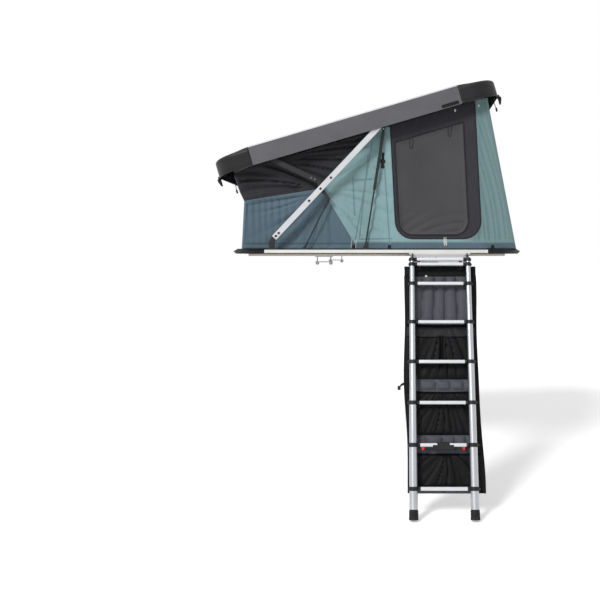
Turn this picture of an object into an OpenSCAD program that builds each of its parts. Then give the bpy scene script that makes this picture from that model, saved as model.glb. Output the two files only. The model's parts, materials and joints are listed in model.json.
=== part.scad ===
// Hard-shell roof top tent, wedge type, drawn open with its ladder down.
// Frame: +X to the high end, -Y to the ladder side, +Z up, z = 0 under the mounting tracks.
// Pieces of the lifting linkage and the lid are drawn folded flat and then swung open.

/* [Base] */
// Length of the base between its end tips
base_l = 2130; // [1960:10:2260]
// Width of the base over its side rails
base_w = 1400; // [1320:10:1520]
// Plan radius of the base corners
base_corner_r = 200; // [160:5:230]
// Length of a corner cap along each rail
base_cap_l = 262; // [245:1:290]
// Height of the base rails
rail_h = 30; // [26:1:36]
// Width of the base rails seen from above
rail_w = 84; // [82:1:96]
// Wall of the hollow rails
rail_wall = 3; // [2:0.5:5]
// Height of the cap edge above the rails
cap_rise = 8; // [4:1:12]
// Height of the pointed cap tip above the rail underside
cap_tip_h = 18; // [12:1:22]
// Thickness of the floor panel
floor_t = 22; // [16:1:25]
// Thickness of the mattress
mattress_t = 60; // [40:1:65]
// Margin of the mattress to the canopy walls
mattress_margin = 18; // [14:1:40]

/* [Mounting] */
// Height of the mounting tracks
track_h = 16; // [14:1:22]
// Width of the mounting tracks
track_w = 60; // [40:1:80]
// Length of the mounting tracks
track_l = 1890; // [1500:10:1940]
// Distance between the two track centre lines
track_span = 1060; // [900:10:1100]
// Mouth width of the track's T slot
tslot_mouth = 9; // [8.5:0.5:11]
// Chamber width of the track's T slot
tslot_w = 18; // [16:0.5:22]
// Distance between the two vehicle crossbars
bar_spread = 780; // [600:10:1000]
// Width of the crossbar opening in a clamp
bar_slot_w = 84; // [70:1:100]
// Height of the crossbar opening in a clamp
bar_slot_h = 34; // [26:1:45]
// Thickness of the clamp plates
clamp_t = 6; // [4:0.5:10]
// Diameter of the clamp bolts
clamp_bolt_d = 8; // [6:1:8]

/* [Lid] */
// Overhang of the lid past the base at each end
lid_over_x = 10; // [8:1:20]
// Overhang of the lid past the base at each side
lid_over_y = 8; // [6:1:14]
// Height of the lid's side panels
lid_side_h = 132; // [126:1:150]
// Skin thickness of the lid's side panels
lid_skin = 3; // [2:0.5:3]
// Length of each lid end cap
lid_cap_l = 293; // [280:1:310]
// Plan radius of the lid corners
lid_corner_r = 200; // [170:5:220]
// Length over which an end cap's top falls
cap_roll_l = 255; // [200:1:260]
// Height that an end cap's top falls through
cap_fall = 15; // [8:1:24]
// Radius of an end cap's upper edges
cap_edge_r = 24; // [16:1:32]
// Wall of the lid end caps
lid_cap_wall = 4; // [3:0.5:5]
// Thickness of the roof panel
roof_t = 8; // [5:1:10]
// Thickness of the padded ceiling liner
liner_t = 9; // [6:1:12]
// Height of the bright trims along the roof edges
trim_h = 10; // [8:1:14]
// Width of the bright trims
trim_w = 30; // [24:1:36]
// Gap between the closed lid and the base rails
lid_gap = 2; // [1.5:0.5:3]
// Length of the side grip insert
grip_l = 130; // [90:1:140]
// Height of the side grip insert
grip_h = 22; // [16:1:30]

/* [Linkage] */
// Distance of the long arm's foot pivot from the base tip
arm_foot_inset = 313; // [305:1:325]
// Height of the long arm's foot pivot above the rail
arm_foot_rise = 17.5; // [17:0.5:20]
// Angle of the long arm when the tent is open
arm_deg = 46.7; // [44:0.1:49]
// Angle that the short arm swings through
short_deg = 25; // [24:0.1:26]
// Distance along the long arm to the short arm's pivot
arm_mid = 548; // [540:1:556]
// Distance along the long arm to its slider
arm_reach = 1232; // [1210:1:1250]
// Offset of the long arm's bar from its foot pivot
arm_offset = 33.5; // [32:0.5:35]
// Width of the long arm's bar
arm_w = 40; // [34:1:42]
// Thickness of the long arm's bar
arm_t = 13; // [12:0.5:14]
// Wall of the long arm's bar
arm_wall = 2; // [1.5:0.5:2.5]
// Length of the short arm from its middle pivot to the lid
short_l = 539; // [530:1:548]
// Offset of the short arm's bar from its middle pivot
short_offset = 44; // [42:0.5:46]
// Width of the short arm's bar
short_w = 36; // [30:1:36]
// Thickness of the short arm's bar
short_t = 12; // [11:0.5:12]
// Reach of the crank end past the middle pivot
crank_reach = 83; // [80:1:86]
// Drop of the crank end below the middle pivot
crank_drop = 40; // [39:0.5:41]
// Height of the control rod's foot pivot above the rail
rod_foot_rise = 10; // [10:0.5:12]
// Diameter of the control rod
rod_d = 10; // [8:0.5:11]
// Diameter of the linkage pins
pin_d = 12; // [10:0.5:12]
// Diameter of the pin that joins the two arms
mid_pin_d = 16; // [14:0.5:18]
// Diameter of the slider roller
roller_d = 18; // [14:1:20]
// Room that the roller has below its track line
roller_room = 11; // [10:0.5:14]

/* [Gas struts] */
// Distance along the long arm to the strut's upper pin
strut_reach = 1174; // [1160:1:1190]
// Distance from the long arm's foot to the strut's foot
strut_foot = 671; // [660:1:680]
// Height of the strut's foot pivot above the rail
strut_foot_rise = 19; // [18:0.5:22]
// Diameter of the strut's cylinder
strut_d = 21; // [18:0.5:21]
// Length of the strut's cylinder
strut_tube_l = 440; // [410:1:450]
// Diameter of the strut's rod
strut_rod_d = 11; // [8:0.5:12]

/* [Latches] */
// Distance between the two latches of an end
latch_span = 960; // [880:10:970]
// Width of a latch lever
latch_w = 34; // [24:1:44]
// Length of a latch lever
latch_l = 65; // [50:1:70]
// Thickness of a latch lever at its pin
latch_t = 9; // [7:0.5:11]
// Thickness of a latch lever at its thumb rest
latch_rest_t = 21; // [16:0.5:24]

/* [Canopy] */
// Thickness of the canopy walls
cloth_t = 3; // [2:0.5:4]
// Height of the front wall's drawn-in seam
waist_z = 402; // [360:1:440]
// How far the front wall stands in from the base tip
front_inset = 75; // [68:1:82]
// How far the rear wall stands in from the base tip
rear_inset = 40; // [36:1:60]
// How much further the drawn-in seam stands in
waist_inset = 18; // [8:1:30]
// How far the canopy reaches up into the lid
tuck = 8; // [4:1:20]
// Height of the lower canopy band above the rails
band_h = 50; // [40:1:60]
// Width of the door along its lower edge
door_w = 625; // [560:5:640]
// Distance of the door from the middle of the base
door_x = 137; // [125:1:150]
// Height of the door's lower edge
door_z = 126; // [112:1:150]
// Radius of the door's lower corners
door_r = 130; // [100:1:160]
// Lean of the door's sides from the vertical
door_lean = 3; // [0:0.5:4]
// Width of the border beside and below the door's mesh
door_border = 26; // [20:1:50]
// Width of the border on the rear side of the door's mesh
door_border_rear = 90; // [60:1:110]
// Height of the border above the door's mesh
door_border_top = 124; // [60:1:160]

/* [Ladder] */
// Distance of the ladder's centre from the base middle
ladder_x = 456; // [400:1:520]
// Distance of the ladder's hinge from the side rail
ladder_stand = 22; // [20:1:30]
// Height of the ladder's hinge above the tracks' underside
hinge_z = 10; // [6:1:12]
// Lean of the ladder from the vertical
ladder_lean = 17; // [12:0.5:20]
// Distance between the two stile centre lines
stile_span = 397; // [360:1:440]
// Distance between two extended rungs
rung_pitch = 275; // [260:1:290]
// Distance between two rungs pushed together
rung_closed = 36; // [34:1:40]
// Distance between the second rung and the half-drawn third
rung_half = 142; // [100:1:180]
// Distance from the hinge to the first rung
rung_first = 36; // [36:1:60]
// Outside diameter of the thinnest stile tube
tube_d = 31; // [28:0.5:32]
// Growth of the tube diameter from one section to the next
tube_step = 4.1; // [3.8:0.1:4.4]
// Wall of the stile tubes
tube_wall = 1.4; // [1.2:0.1:1.5]
// Length that extended tubes stay inside each other
tube_overlap = 40; // [30:1:60]
// Height of a collar
collar_h = 26; // [22:1:28]
// How far a collar stands out from its tube
collar_out = 4.5; // [3:0.5:6]
// Height of a rung
rung_h = 25; // [20:1:28]
// Depth of a rung
rung_depth = 38; // [30:1:44]
// Distance from the lowest rung to the ground
leg_l = 192; // [160:1:240]
// Diameter of a rubber foot
foot_d = 63; // [58:1:70]
// Height of a rubber foot
foot_h = 65; // [50:1:80]
// Length of the release grip
grip_bar_l = 138; // [120:1:160]
// Length of the hump on the release grip
grip_hump_l = 82; // [60:1:100]
// How far the release grip stands above its rung
grip_over = 6; // [4:1:8]
// How far the release grip hangs below its rung
grip_under = 20; // [14:1:28]
// Travel of a release tab
tab_travel = 10; // [6:1:14]

/* [Organizer] */
// Width of the hanging organizer
org_w = 510; // [460:5:540]
// Length of the hanging organizer
org_l = 1545; // [1300:5:1560]
// Thickness of the organizer's panel
org_t = 5; // [4:0.5:8]
// Depth of the organizer's pockets
pocket_d = 20; // [10:1:24]

/* [Fits] */
// Radial clearance of a running pin
pin_fit = 0.15; // [0.1:0.05:0.2]
// Clearance between parts that face each other
part_gap = 0.3; // [0.2:0.05:0.4]

/* [Hidden] */
$fn = 48;
ladder_sections = 7;

// Levels of the base
rail_z0 = track_h;
rail_top = rail_z0 + rail_h;
floor_top = rail_z0 + floor_t;
base_hx = base_l / 2;
base_hy = base_w / 2;
rail_in_y = base_hy - rail_w;
rail_in_x = base_hx - rail_w;
side_rail_hx = base_hx - base_cap_l;
end_rail_hy = base_hy - base_cap_l;

// Lanes of the linkage, as distances from the centre line
lane_inset = 9;
lane_gap = 2;
rod_lane_gap = 3;
rod_eye_t = 13;
strut_lane_gap = 4;
wall_gap = 2.5;
arm_y1 = base_hy - lane_inset;
arm_y0 = arm_y1 - arm_t;
short_y1 = arm_y0 - lane_gap;
short_y0 = short_y1 - short_t;
rod_y1 = short_y0 - rod_lane_gap;
rod_y0 = rod_y1 - rod_eye_t;
strut_y1 = rod_y0 - strut_lane_gap;
strut_y0 = strut_y1 - strut_d;
strut_yc = (strut_y0 + strut_y1) / 2;
wall_y1 = strut_y0 - wall_gap;
wall_y0 = wall_y1 - cloth_t;

// Lid levels in the folded pose
lid_hx = base_hx + lid_over_x;
lid_hy = base_hy + lid_over_y;
lid_z0 = rail_top + lid_gap;
lid_z1 = lid_z0 + lid_side_h;
lid_top = lid_z1 + trim_h;
lid_panel_hx = lid_hx - lid_cap_l;
lid_in_y = lid_hy - lid_skin;
roof_z1 = lid_z1 - lid_skin;
roof_z0 = roof_z1 - roof_t;
hem_w = 14;
flange_w = 68;
slice_t = 0.5;
cap_steps = 2;
cap_side_roll = 30;

// Linkage points in the X-Z plane, folded and open
function turn(v, a) = [v[0] * cos(a) - v[1] * sin(a), v[0] * sin(a) + v[1] * cos(a)];
foot_p = [arm_foot_inset - base_hx, rail_top + arm_foot_rise];
mid_shut = foot_p + [arm_mid, arm_offset];
mid_open = foot_p + turn([arm_mid, arm_offset], arm_deg);
lid_pin_shut = mid_shut + [-short_l, short_offset];
lid_pin_open = mid_open + turn([-short_l, short_offset], -short_deg);
slide_shut = foot_p + [arm_reach, arm_offset];
slide_open = foot_p + turn([arm_reach, arm_offset], arm_deg);
span = slide_open - lid_pin_open;
lid_deg = atan2(span[1], span[0]) + asin(short_offset / norm(span));
slide_in_lid = lid_pin_shut + turn(span, -lid_deg);
crank_shut = mid_shut + [crank_reach, -crank_drop];
crank_open = mid_open + turn([crank_reach, -crank_drop], -short_deg);

// Rod foot, equally far from the crank end in both poses
rod_z = rail_top + rod_foot_rise;
crank_middle = (crank_open + crank_shut) / 2;
crank_chord = crank_open - crank_shut;
rod_foot_p = [crank_middle[0] + (crank_middle[1] - rod_z) * crank_chord[1] / crank_chord[0], rod_z];
rod_l = norm(crank_shut - rod_foot_p);
rod_open_deg = atan2(crank_open[1] - rod_z, crank_open[0] - rod_foot_p[0]);

// Strut pins
strut_p = [foot_p[0] + strut_foot, rail_top + strut_foot_rise];
strut_top_shut = foot_p + [strut_reach, 0];
strut_top_open = foot_p + turn([strut_reach, 0], arm_deg);
strut_open_l = norm(strut_top_open - strut_p);
strut_open_deg = atan2(strut_top_open[1] - strut_p[1], strut_top_open[0] - strut_p[0]);
eye_r = 9;
eye_t = 12;

// Canopy corners in the X-Z plane
brow_out = 40;
brow_rise = 120;
front_in_lid = 98;
rear_in_lid = 88;
seam_back = 122;
seam_out = 590;
cloth_z = rail_top + cap_rise + part_gap;
function lid_point(s, n) = lid_pin_open + turn([s - lid_pin_shut[0], n + lid_z0 - lid_pin_shut[1]], lid_deg);
front_foot = [front_inset - base_hx, cloth_z];
front_waist = [front_foot[0] + waist_inset, waist_z];
front_brow = [front_foot[0] - brow_out, waist_z + brow_rise];
front_top = lid_point(front_in_lid - lid_hx, tuck);
rear_foot = [base_hx - rear_inset, cloth_z];
rear_top = lid_point(lid_hx - rear_in_lid, tuck);
seam_meet = [mid_open[0], mid_open[1] + tuck];
seam_lid = lid_point(slide_in_lid[0] - seam_back, tuck);
band_z = rail_top + band_h;
seam_foot = [foot_p[0] + seam_out, band_z];
rear_band = rear_foot + (rear_top - rear_foot) * (band_z - cloth_z) / (rear_top[1] - cloth_z);

// Ladder places, measured down from the hinge
ladder_y = base_hy + ladder_stand;
rung_at = [for (i = [0 : ladder_sections])
    i == 0 ? rung_first
    : i == 1 ? rung_first + rung_closed
    : rung_first + rung_closed + rung_half + (i - 2) * rung_pitch];
tube_l = rung_pitch + tube_overlap;
foot_end = rung_at[ladder_sections] + leg_l;
function tube_r(i) = (tube_d + tube_step * i) / 2;
function collar_r(i) = tube_r(i) + collar_out;
widest_r = collar_r(ladder_sections - 1);
org_y = max(widest_r, rung_depth / 2) + 3;
org_top = rung_first + 38;

// Outline helpers
function arc(c, r, a0, a1, n) =
    [for (i = [0 : n]) let (a = a0 + (a1 - a0) * i / n) c + r * [cos(a), sin(a)]];
function rounded(hx, hy, r) = concat(
    arc([hx - r, hy - r], r, 0, 90, 10), arc([r - hx, hy - r], r, 90, 180, 10),
    arc([r - hx, r - hy], r, 180, 270, 10), arc([hx - r, r - hy], r, 270, 360, 10));
function stadium(p, q, r) =
    let (a = atan2(q[1] - p[1], q[0] - p[0]))
    concat(arc(q, r, a - 90, a + 90, 10), arc(p, r, a + 90, a + 270, 10));

module both_sides() {
    children();
    mirror([0, 1, 0]) children();
}
module both_ends() {
    children();
    mirror([1, 0, 0]) children();
}
// Extrudes an X-Z outline on the near side, from y0 to y1 out from the centre line
module side_plate(y0, y1) {
    translate([0, -y0, 0]) rotate([90, 0, 0]) linear_extrude(y1 - y0) children();
}
module side_pin(p, d, y0, y1) {
    translate([p[0], -y0, p[1]]) rotate([90, 0, 0]) cylinder(d = d, h = y1 - y0);
}
// Swings what is drawn folded from its folded pivot to its open one
module swing(p_shut, p_open, deg) {
    translate([p_open[0], 0, p_open[1]]) rotate([0, -deg, 0])
        translate([-p_shut[0], 0, -p_shut[1]]) children();
}
module on_lid() {
    swing(lid_pin_shut, lid_pin_open, lid_deg) children();
}
module on_arm() {
    swing(foot_p, foot_p, arm_deg) children();
}
module on_short_arm() {
    swing(mid_shut, mid_open, -short_deg) children();
}
module link(points, w) {
    for (i = [0 : len(points) - 2]) polygon(stadium(points[i], points[i + 1], w / 2));
}

// Base

module floor_panel() {
    color("dimgray") translate([0, 0, rail_z0]) linear_extrude(floor_t)
        polygon(rounded(rail_in_x - part_gap, rail_in_y - part_gap, base_corner_r - rail_w));
}
module hollow_bar(l, w, h, wall) {
    difference() {
        cube([l, w, h], center = true);
        cube([l + 2, w - 2 * wall, h - 2 * wall], center = true);
    }
}
module side_rails() {
    color("silver") both_sides() translate([0, -base_hy + rail_w / 2, rail_z0 + rail_h / 2])
        hollow_bar(2 * side_rail_hx, rail_w, rail_h, rail_wall);
}
module end_rails() {
    color("silver") both_ends() translate([base_hx - rail_w / 2, 0, rail_z0 + rail_h / 2])
        rotate([0, 0, 90]) hollow_bar(2 * end_rail_hy, rail_w, rail_h, rail_wall);
}
module corner_slice(z, inset) {
    r = base_corner_r - inset;
    x0 = side_rail_hx;
    y0 = end_rail_hy;
    outer = arc([base_hx - base_corner_r, base_hy - base_corner_r], r, 0, 90, 10);
    translate([0, 0, z]) linear_extrude(slice_t)
        polygon(concat([[x0, y0], [base_hx - inset, y0]], outer, [[x0, base_hy - inset]]));
}
module corner_caps() {
    color([0.13, 0.13, 0.14]) both_sides() both_ends() difference() {
        hull() {
            corner_slice(rail_z0 + 1, 18);
            corner_slice(rail_z0 + cap_tip_h, 0);
            corner_slice(rail_top + cap_rise - slice_t, 30);
        }
        translate([0, 0, rail_z0 - 1]) linear_extrude(rail_h + cap_rise + 2)
            polygon(rounded(rail_in_x, rail_in_y, base_corner_r - rail_w));
    }
}
module mount_tracks() {
    mouth_h = 4;
    chamber_h = track_h - 2 * mouth_h;
    color("silver") both_sides() translate([0, -track_span / 2, 0]) difference() {
        translate([-track_l / 2, -track_w / 2, 0]) cube([track_l, track_w, track_h]);
        translate([-track_l / 2 - 1, -tslot_mouth / 2, -1]) cube([track_l + 2, tslot_mouth, mouth_h + 2]);
        translate([-track_l / 2 - 1, -tslot_w / 2, mouth_h]) cube([track_l + 2, tslot_w, chamber_h]);
    }
}
clamp_bolt_x = bar_slot_w / 2 + clamp_bolt_d;
clamp_hx = clamp_bolt_x + 14;
plate_z = -clamp_t - bar_slot_h;
module at_clamps() {
    for (x = [-bar_spread / 2, bar_spread / 2]) for (y = [-track_span / 2, track_span / 2])
        translate([x, y, 0]) children();
}
module clamp_slab(z) {
    difference() {
        translate([-clamp_hx, -track_w / 2, z]) cube([2 * clamp_hx, track_w, clamp_t]);
        for (s = [-1, 1]) translate([s * clamp_bolt_x, 0, z - 1])
            cylinder(d = clamp_bolt_d + 2 * pin_fit, h = clamp_t + 2);
    }
}
module clamp_saddles() {
    color([0.15, 0.15, 0.15]) at_clamps() clamp_slab(-clamp_t);
}
module clamp_plates() {
    color("gray") at_clamps() clamp_slab(plate_z - clamp_t);
}
module clamp_bolts() {
    head_h = 5;
    knob_h = 16;
    bolt_end = plate_z - clamp_t - knob_h - 4;
    color("dimgray") at_clamps() for (s = [-1, 1]) translate([s * clamp_bolt_x, 0, 0]) {
        translate([0, 0, bolt_end]) cylinder(d = clamp_bolt_d, h = 4 - bolt_end + 0.5);
        translate([0, 0, 4 + part_gap]) cylinder(d = tslot_w - 4, h = head_h);
        translate([0, 0, plate_z - clamp_t - knob_h]) difference() {
            cylinder(d = 26, h = knob_h);
            translate([0, 0, -1]) cylinder(d = clamp_bolt_d + 2 * pin_fit, h = knob_h + 2);
        }
    }
}
module mattress() {
    x0 = front_waist[0] + mattress_margin;
    x1 = min(rear_top[0] + 90, rail_in_x - mattress_margin);
    color("slategray") translate([(x0 + x1) / 2, 0, floor_top + part_gap])
        linear_extrude(mattress_t) polygon(rounded((x1 - x0) / 2, wall_y0 - mattress_margin, 90));
}

// Pivot brackets on the side rails

module foot_bracket(p, y0, y1, pin_end, d) {
    foot_hx = 26;
    side_plate(y0, y1) polygon([[p[0] - foot_hx, rail_top], [p[0] + foot_hx, rail_top],
        [p[0] + eye_r, p[1] + eye_r], [p[0] - eye_r, p[1] + eye_r]]);
    side_pin(p, d, min(y0, pin_end), max(y1, pin_end));
}
module pivot_brackets() {
    color([0.16, 0.16, 0.17]) both_sides() {
        foot_bracket(foot_p, short_y0, short_y1, arm_y1 + 1, pin_d);
        foot_bracket(rod_foot_p, rod_y1 + part_gap, short_y0, rod_y0 - 1, pin_d - 2);
        foot_bracket(strut_p, strut_yc + eye_t / 2 + part_gap, strut_y1, strut_y1, pin_d - 2);
    }
}

// Lid

module lid_sides() {
    color([0.4, 0.4, 0.415]) on_lid() both_sides() translate([-lid_panel_hx, 0, 0])
        rotate([90, 0, 90]) linear_extrude(2 * lid_panel_hx) polygon([
            [-lid_hy, lid_z0], [hem_w - lid_hy, lid_z0], [hem_w - lid_hy, lid_z0 + lid_skin],
            [-lid_in_y, lid_z0 + lid_skin], [-lid_in_y, lid_z1 - lid_skin],
            [flange_w - lid_hy, lid_z1 - lid_skin], [flange_w - lid_hy, lid_z1], [-lid_hy, lid_z1]]);
}
module lid_roof() {
    color([0.62, 0.63, 0.64]) on_lid() translate([-lid_panel_hx, hem_w - lid_in_y, roof_z0])
        cube([2 * lid_panel_hx, 2 * (lid_in_y - hem_w), roof_t]);
}
module cap_slice(z, side, end, x0) {
    r = min(lid_corner_r - side, lid_hx - end - x0 - 1);
    c = [lid_hx - end - r, lid_hy - side - r];
    far = arc([c[0], -c[1]], r, -90, 0, 10);
    near = arc(c, r, 0, 90, 10);
    translate([0, 0, z]) linear_extrude(slice_t)
        polygon(concat([[x0, side - lid_hy]], far, near, [[x0, lid_hy - side]]));
}
// Solid cap, drawn in by a wall on every side and starting at x0 and z0
module cap_solid(wall, x0, z0) {
    top = lid_top - slice_t - wall;
    r = cap_edge_r - wall;
    hull() {
        cap_slice(z0, wall, wall, x0);
        for (k = [0 : cap_steps]) {
            a = 90 * k / cap_steps;
            inset = wall + r * (1 - cos(a));
            cap_slice(top - cap_fall - r * (1 - sin(a)), inset, inset, x0);
        }
        for (share = [0.5, 1])
            cap_slice(top - cap_fall * pow(1 - share, 2), wall + cap_side_roll * share,
                cap_edge_r + (cap_roll_l - cap_edge_r) * share, x0);
    }
}
module cap_shell() {
    difference() {
        cap_solid(0, lid_panel_hx, lid_z0);
        cap_solid(lid_cap_wall, lid_panel_hx + lid_cap_wall, lid_z0 - 1);
        translate([lid_panel_hx - 1, flange_w - lid_hy, lid_z0 - 1])
            cube([lid_cap_wall + 2, 2 * (lid_hy - flange_w), roof_z0 - lid_z0]);
    }
}
module lid_rear_cap() {
    color([0.22, 0.22, 0.22]) on_lid() cap_shell();
}
module lid_front_cap() {
    color([0.22, 0.22, 0.22]) on_lid() mirror([1, 0, 0]) cap_shell();
}
module lid_trims() {
    step = 2;
    chamfer = trim_h / 2;
    color("silver") on_lid() both_sides() translate([-lid_panel_hx, step - lid_hy, lid_z1])
        rotate([90, 0, 90]) linear_extrude(2 * lid_panel_hx) polygon([[0, 0], [trim_w, 0],
            [trim_w, trim_h - step], [trim_w - chamfer, trim_h], [chamfer, trim_h], [0, trim_h - chamfer]]);
}
module lid_liner() {
    color("lightgray") on_lid() translate([-lid_panel_hx, rail_w - lid_hy, roof_z0 - liner_t])
        cube([2 * lid_panel_hx, 2 * (lid_hy - rail_w), liner_t]);
}
module guide_channels() {
    web = 3;
    lip = 5;
    x0 = slide_in_lid[0] - roller_d;
    x1 = slide_shut[0] + roller_d;
    z0 = slide_shut[1] - roller_d / 2 - roller_room;
    z1 = slide_shut[1] + roller_d / 2 + 2;
    color("silver") on_lid() both_sides() difference() {
        side_plate(arm_y1 + 2, lid_in_y) polygon([[x0 - lip, z0 - lip], [x1 + lip, z0 - lip],
            [x1 + lip, z1 + lip], [x0 - lip, z1 + lip]]);
        side_plate(arm_y1 + 1, lid_in_y - web) polygon([[x0, z0], [x1, z0], [x1, z1], [x0, z1]]);
    }
}
module lid_pivot_blocks() {
    block_hl = 14;
    block_r = pin_d / 2 + 9;
    color([0.16, 0.16, 0.17]) on_lid() both_sides() {
        side_plate(short_y1 + part_gap, lid_in_y)
            polygon(stadium(lid_pin_shut - [block_hl, 0], lid_pin_shut + [block_hl, 0], block_r));
        side_pin(lid_pin_shut, pin_d, short_y0 - 1, lid_in_y);
    }
}
module lid_grips() {
    x1 = lid_panel_hx - 20;
    z = lid_z0 + 19;
    r = grip_h / 2;
    color([0.08, 0.08, 0.08]) on_lid() both_sides() difference() {
        side_plate(lid_hy, lid_hy + 4) polygon(stadium([x1 - grip_l + r, z], [x1 - r, z], r));
        side_plate(lid_hy + 1.5, lid_hy + 5) polygon(stadium([x1 - grip_l + r, z], [x1 - r, z], r - 3));
    }
}

// Latches on the lid's end faces

latch_pin = [lid_hx + latch_t / 2 + 6, lid_z0 + 12];
latch_pin_d = 5;
module at_latch(end, side) {
    on_lid() scale([end, 1, 1]) translate([0, side * latch_span / 2, 0]) children();
}
module latch_pivot(d, w) {
    translate([latch_pin[0], -w / 2, latch_pin[1]]) rotate([-90, 0, 0]) cylinder(d = d, h = w);
}
module latch_plates() {
    ear_w = 5;
    color([0.12, 0.12, 0.12]) for (e = [-1, 1]) for (s = [-1, 1]) at_latch(e, s) {
        translate([lid_hx, -latch_w / 2 - ear_w - 1, lid_z0 + 2]) cube([4, latch_w + 2 * ear_w + 2, 44]);
        for (m = [0, 1]) mirror([0, m, 0]) translate([lid_hx, latch_w / 2 + 1, lid_z0 + 2])
            cube([latch_t + 8, ear_w, 20]);
        latch_pivot(latch_pin_d, latch_w + 2 * ear_w + 2);
    }
}
module latch_lever(end, side) {
    r = latch_t / 2;
    rest = latch_rest_t - r;
    rest_z = [-2 * r, -5 * r];
    tip = latch_pin - [0, latch_l - latch_t];
    color([0.1, 0.1, 0.1]) at_latch(end, side) difference() {
        translate([0, latch_w / 2, 0]) rotate([90, 0, 0]) linear_extrude(latch_w) {
            polygon(stadium(latch_pin, tip, r));
            polygon([latch_pin + [r, 0], tip + [r, 0], latch_pin + [rest, rest_z[1]],
                latch_pin + [rest, rest_z[0]]]);
        }
        latch_pivot(latch_pin_d + 2 * pin_fit, latch_w + 2);
    }
}

// Long arms

neck_w = 2 * eye_r + 6;
neck_l = 60;
neck_bend = 16;
neck_round = 4;
shoulder = 6;
tongue_l = 62;
bolt_edge = 14;
bolt_pitch = 30;
gooseneck_path = [foot_p, foot_p + [neck_bend, arm_offset - neck_round],
    foot_p + [neck_l - neck_bend, arm_offset], foot_p + [neck_l, arm_offset]];
tongue_x0 = foot_p[0] + neck_l + shoulder;
tongue_x1 = tongue_x0 + tongue_l;
arm_bolt_x = [tongue_x0 + bolt_edge, tongue_x0 + bolt_edge + bolt_pitch];
arm_z = foot_p[1] + arm_offset;
arm_bolt_d = 8;
arm_x0 = tongue_x0 - neck_round;
module long_arms() {
    x0 = arm_x0;
    x1 = slide_shut[0] + arm_w / 2 + 4;
    color("silver") on_arm() both_sides() difference() {
        translate([(x0 + x1) / 2, -(arm_y0 + arm_y1) / 2, arm_z]) hollow_bar(x1 - x0, arm_t, arm_w, arm_wall);
        for (x = arm_bolt_x) side_pin([x, arm_z], arm_bolt_d + 2 * pin_fit, arm_y0 - 1, arm_y1 + 1);
        side_pin(mid_shut, mid_pin_d + 2 * pin_fit, arm_y0 - 1, arm_y1 + 1);
        side_pin(slide_shut, pin_d - 2 + 2 * pin_fit, arm_y0 - 1, arm_y1 + 1);
    }
}
module arm_goosenecks() {
    fit = arm_wall + part_gap;
    color([0.16, 0.16, 0.17]) on_arm() both_sides() difference() {
        union() {
            side_plate(arm_y0, arm_y1) link(gooseneck_path, neck_w);
            translate([tongue_x0 - shoulder, -arm_y1 + fit, arm_z - arm_w / 2 + fit])
                cube([tongue_x1 - tongue_x0 + shoulder, arm_t - 2 * fit, arm_w - 2 * fit]);
        }
        translate([arm_x0 - part_gap, -arm_y1 - 1, arm_z - arm_w])
            difference() {
                cube([neck_w, arm_t + 2, 2 * arm_w]);
                translate([-1, fit + 1, arm_w / 2 + fit])
                    cube([neck_w + 2, arm_t - 2 * fit, arm_w - 2 * fit]);
            }
        side_pin(foot_p, pin_d + 2 * pin_fit, arm_y0 - 1, arm_y1 + 1);
        for (x = arm_bolt_x) side_pin([x, arm_z], arm_bolt_d + 2 * pin_fit, arm_y0 - 1, arm_y1 + 1);
    }
}
module strut_lugs() {
    top = [strut_top_shut[0], arm_z];
    color([0.16, 0.16, 0.17]) on_arm() both_sides() difference() {
        side_plate(arm_y0 - 6, arm_y0) polygon(stadium(strut_top_shut, top, eye_r + 3));
        side_pin(strut_top_shut, pin_d - 2 + 2 * pin_fit, arm_y0 - 8, arm_y0 + 1);
    }
}
module arm_pins() {
    color("gray") on_arm() both_sides() {
        side_pin(mid_shut, mid_pin_d, short_y0 - 1, arm_y1 + 1.5);
        side_pin(slide_shut, pin_d - 2, arm_y0, lid_in_y - 4);
        side_pin(strut_top_shut, pin_d - 2, strut_yc - eye_t / 2 - 2, arm_y0 - part_gap);
        for (x = arm_bolt_x) side_pin([x, arm_z], arm_bolt_d, arm_y0 - 1.5, arm_y1 + 1.5);
    }
}
module slider_rollers() {
    color([0.9, 0.9, 0.88]) on_arm() both_sides() difference() {
        side_pin(slide_shut, roller_d, arm_y1 + 2.5, lid_in_y - 4);
        side_pin(slide_shut, pin_d - 2 + 2 * pin_fit, arm_y1, lid_in_y);
    }
}

// Short arms and their cranks

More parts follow.
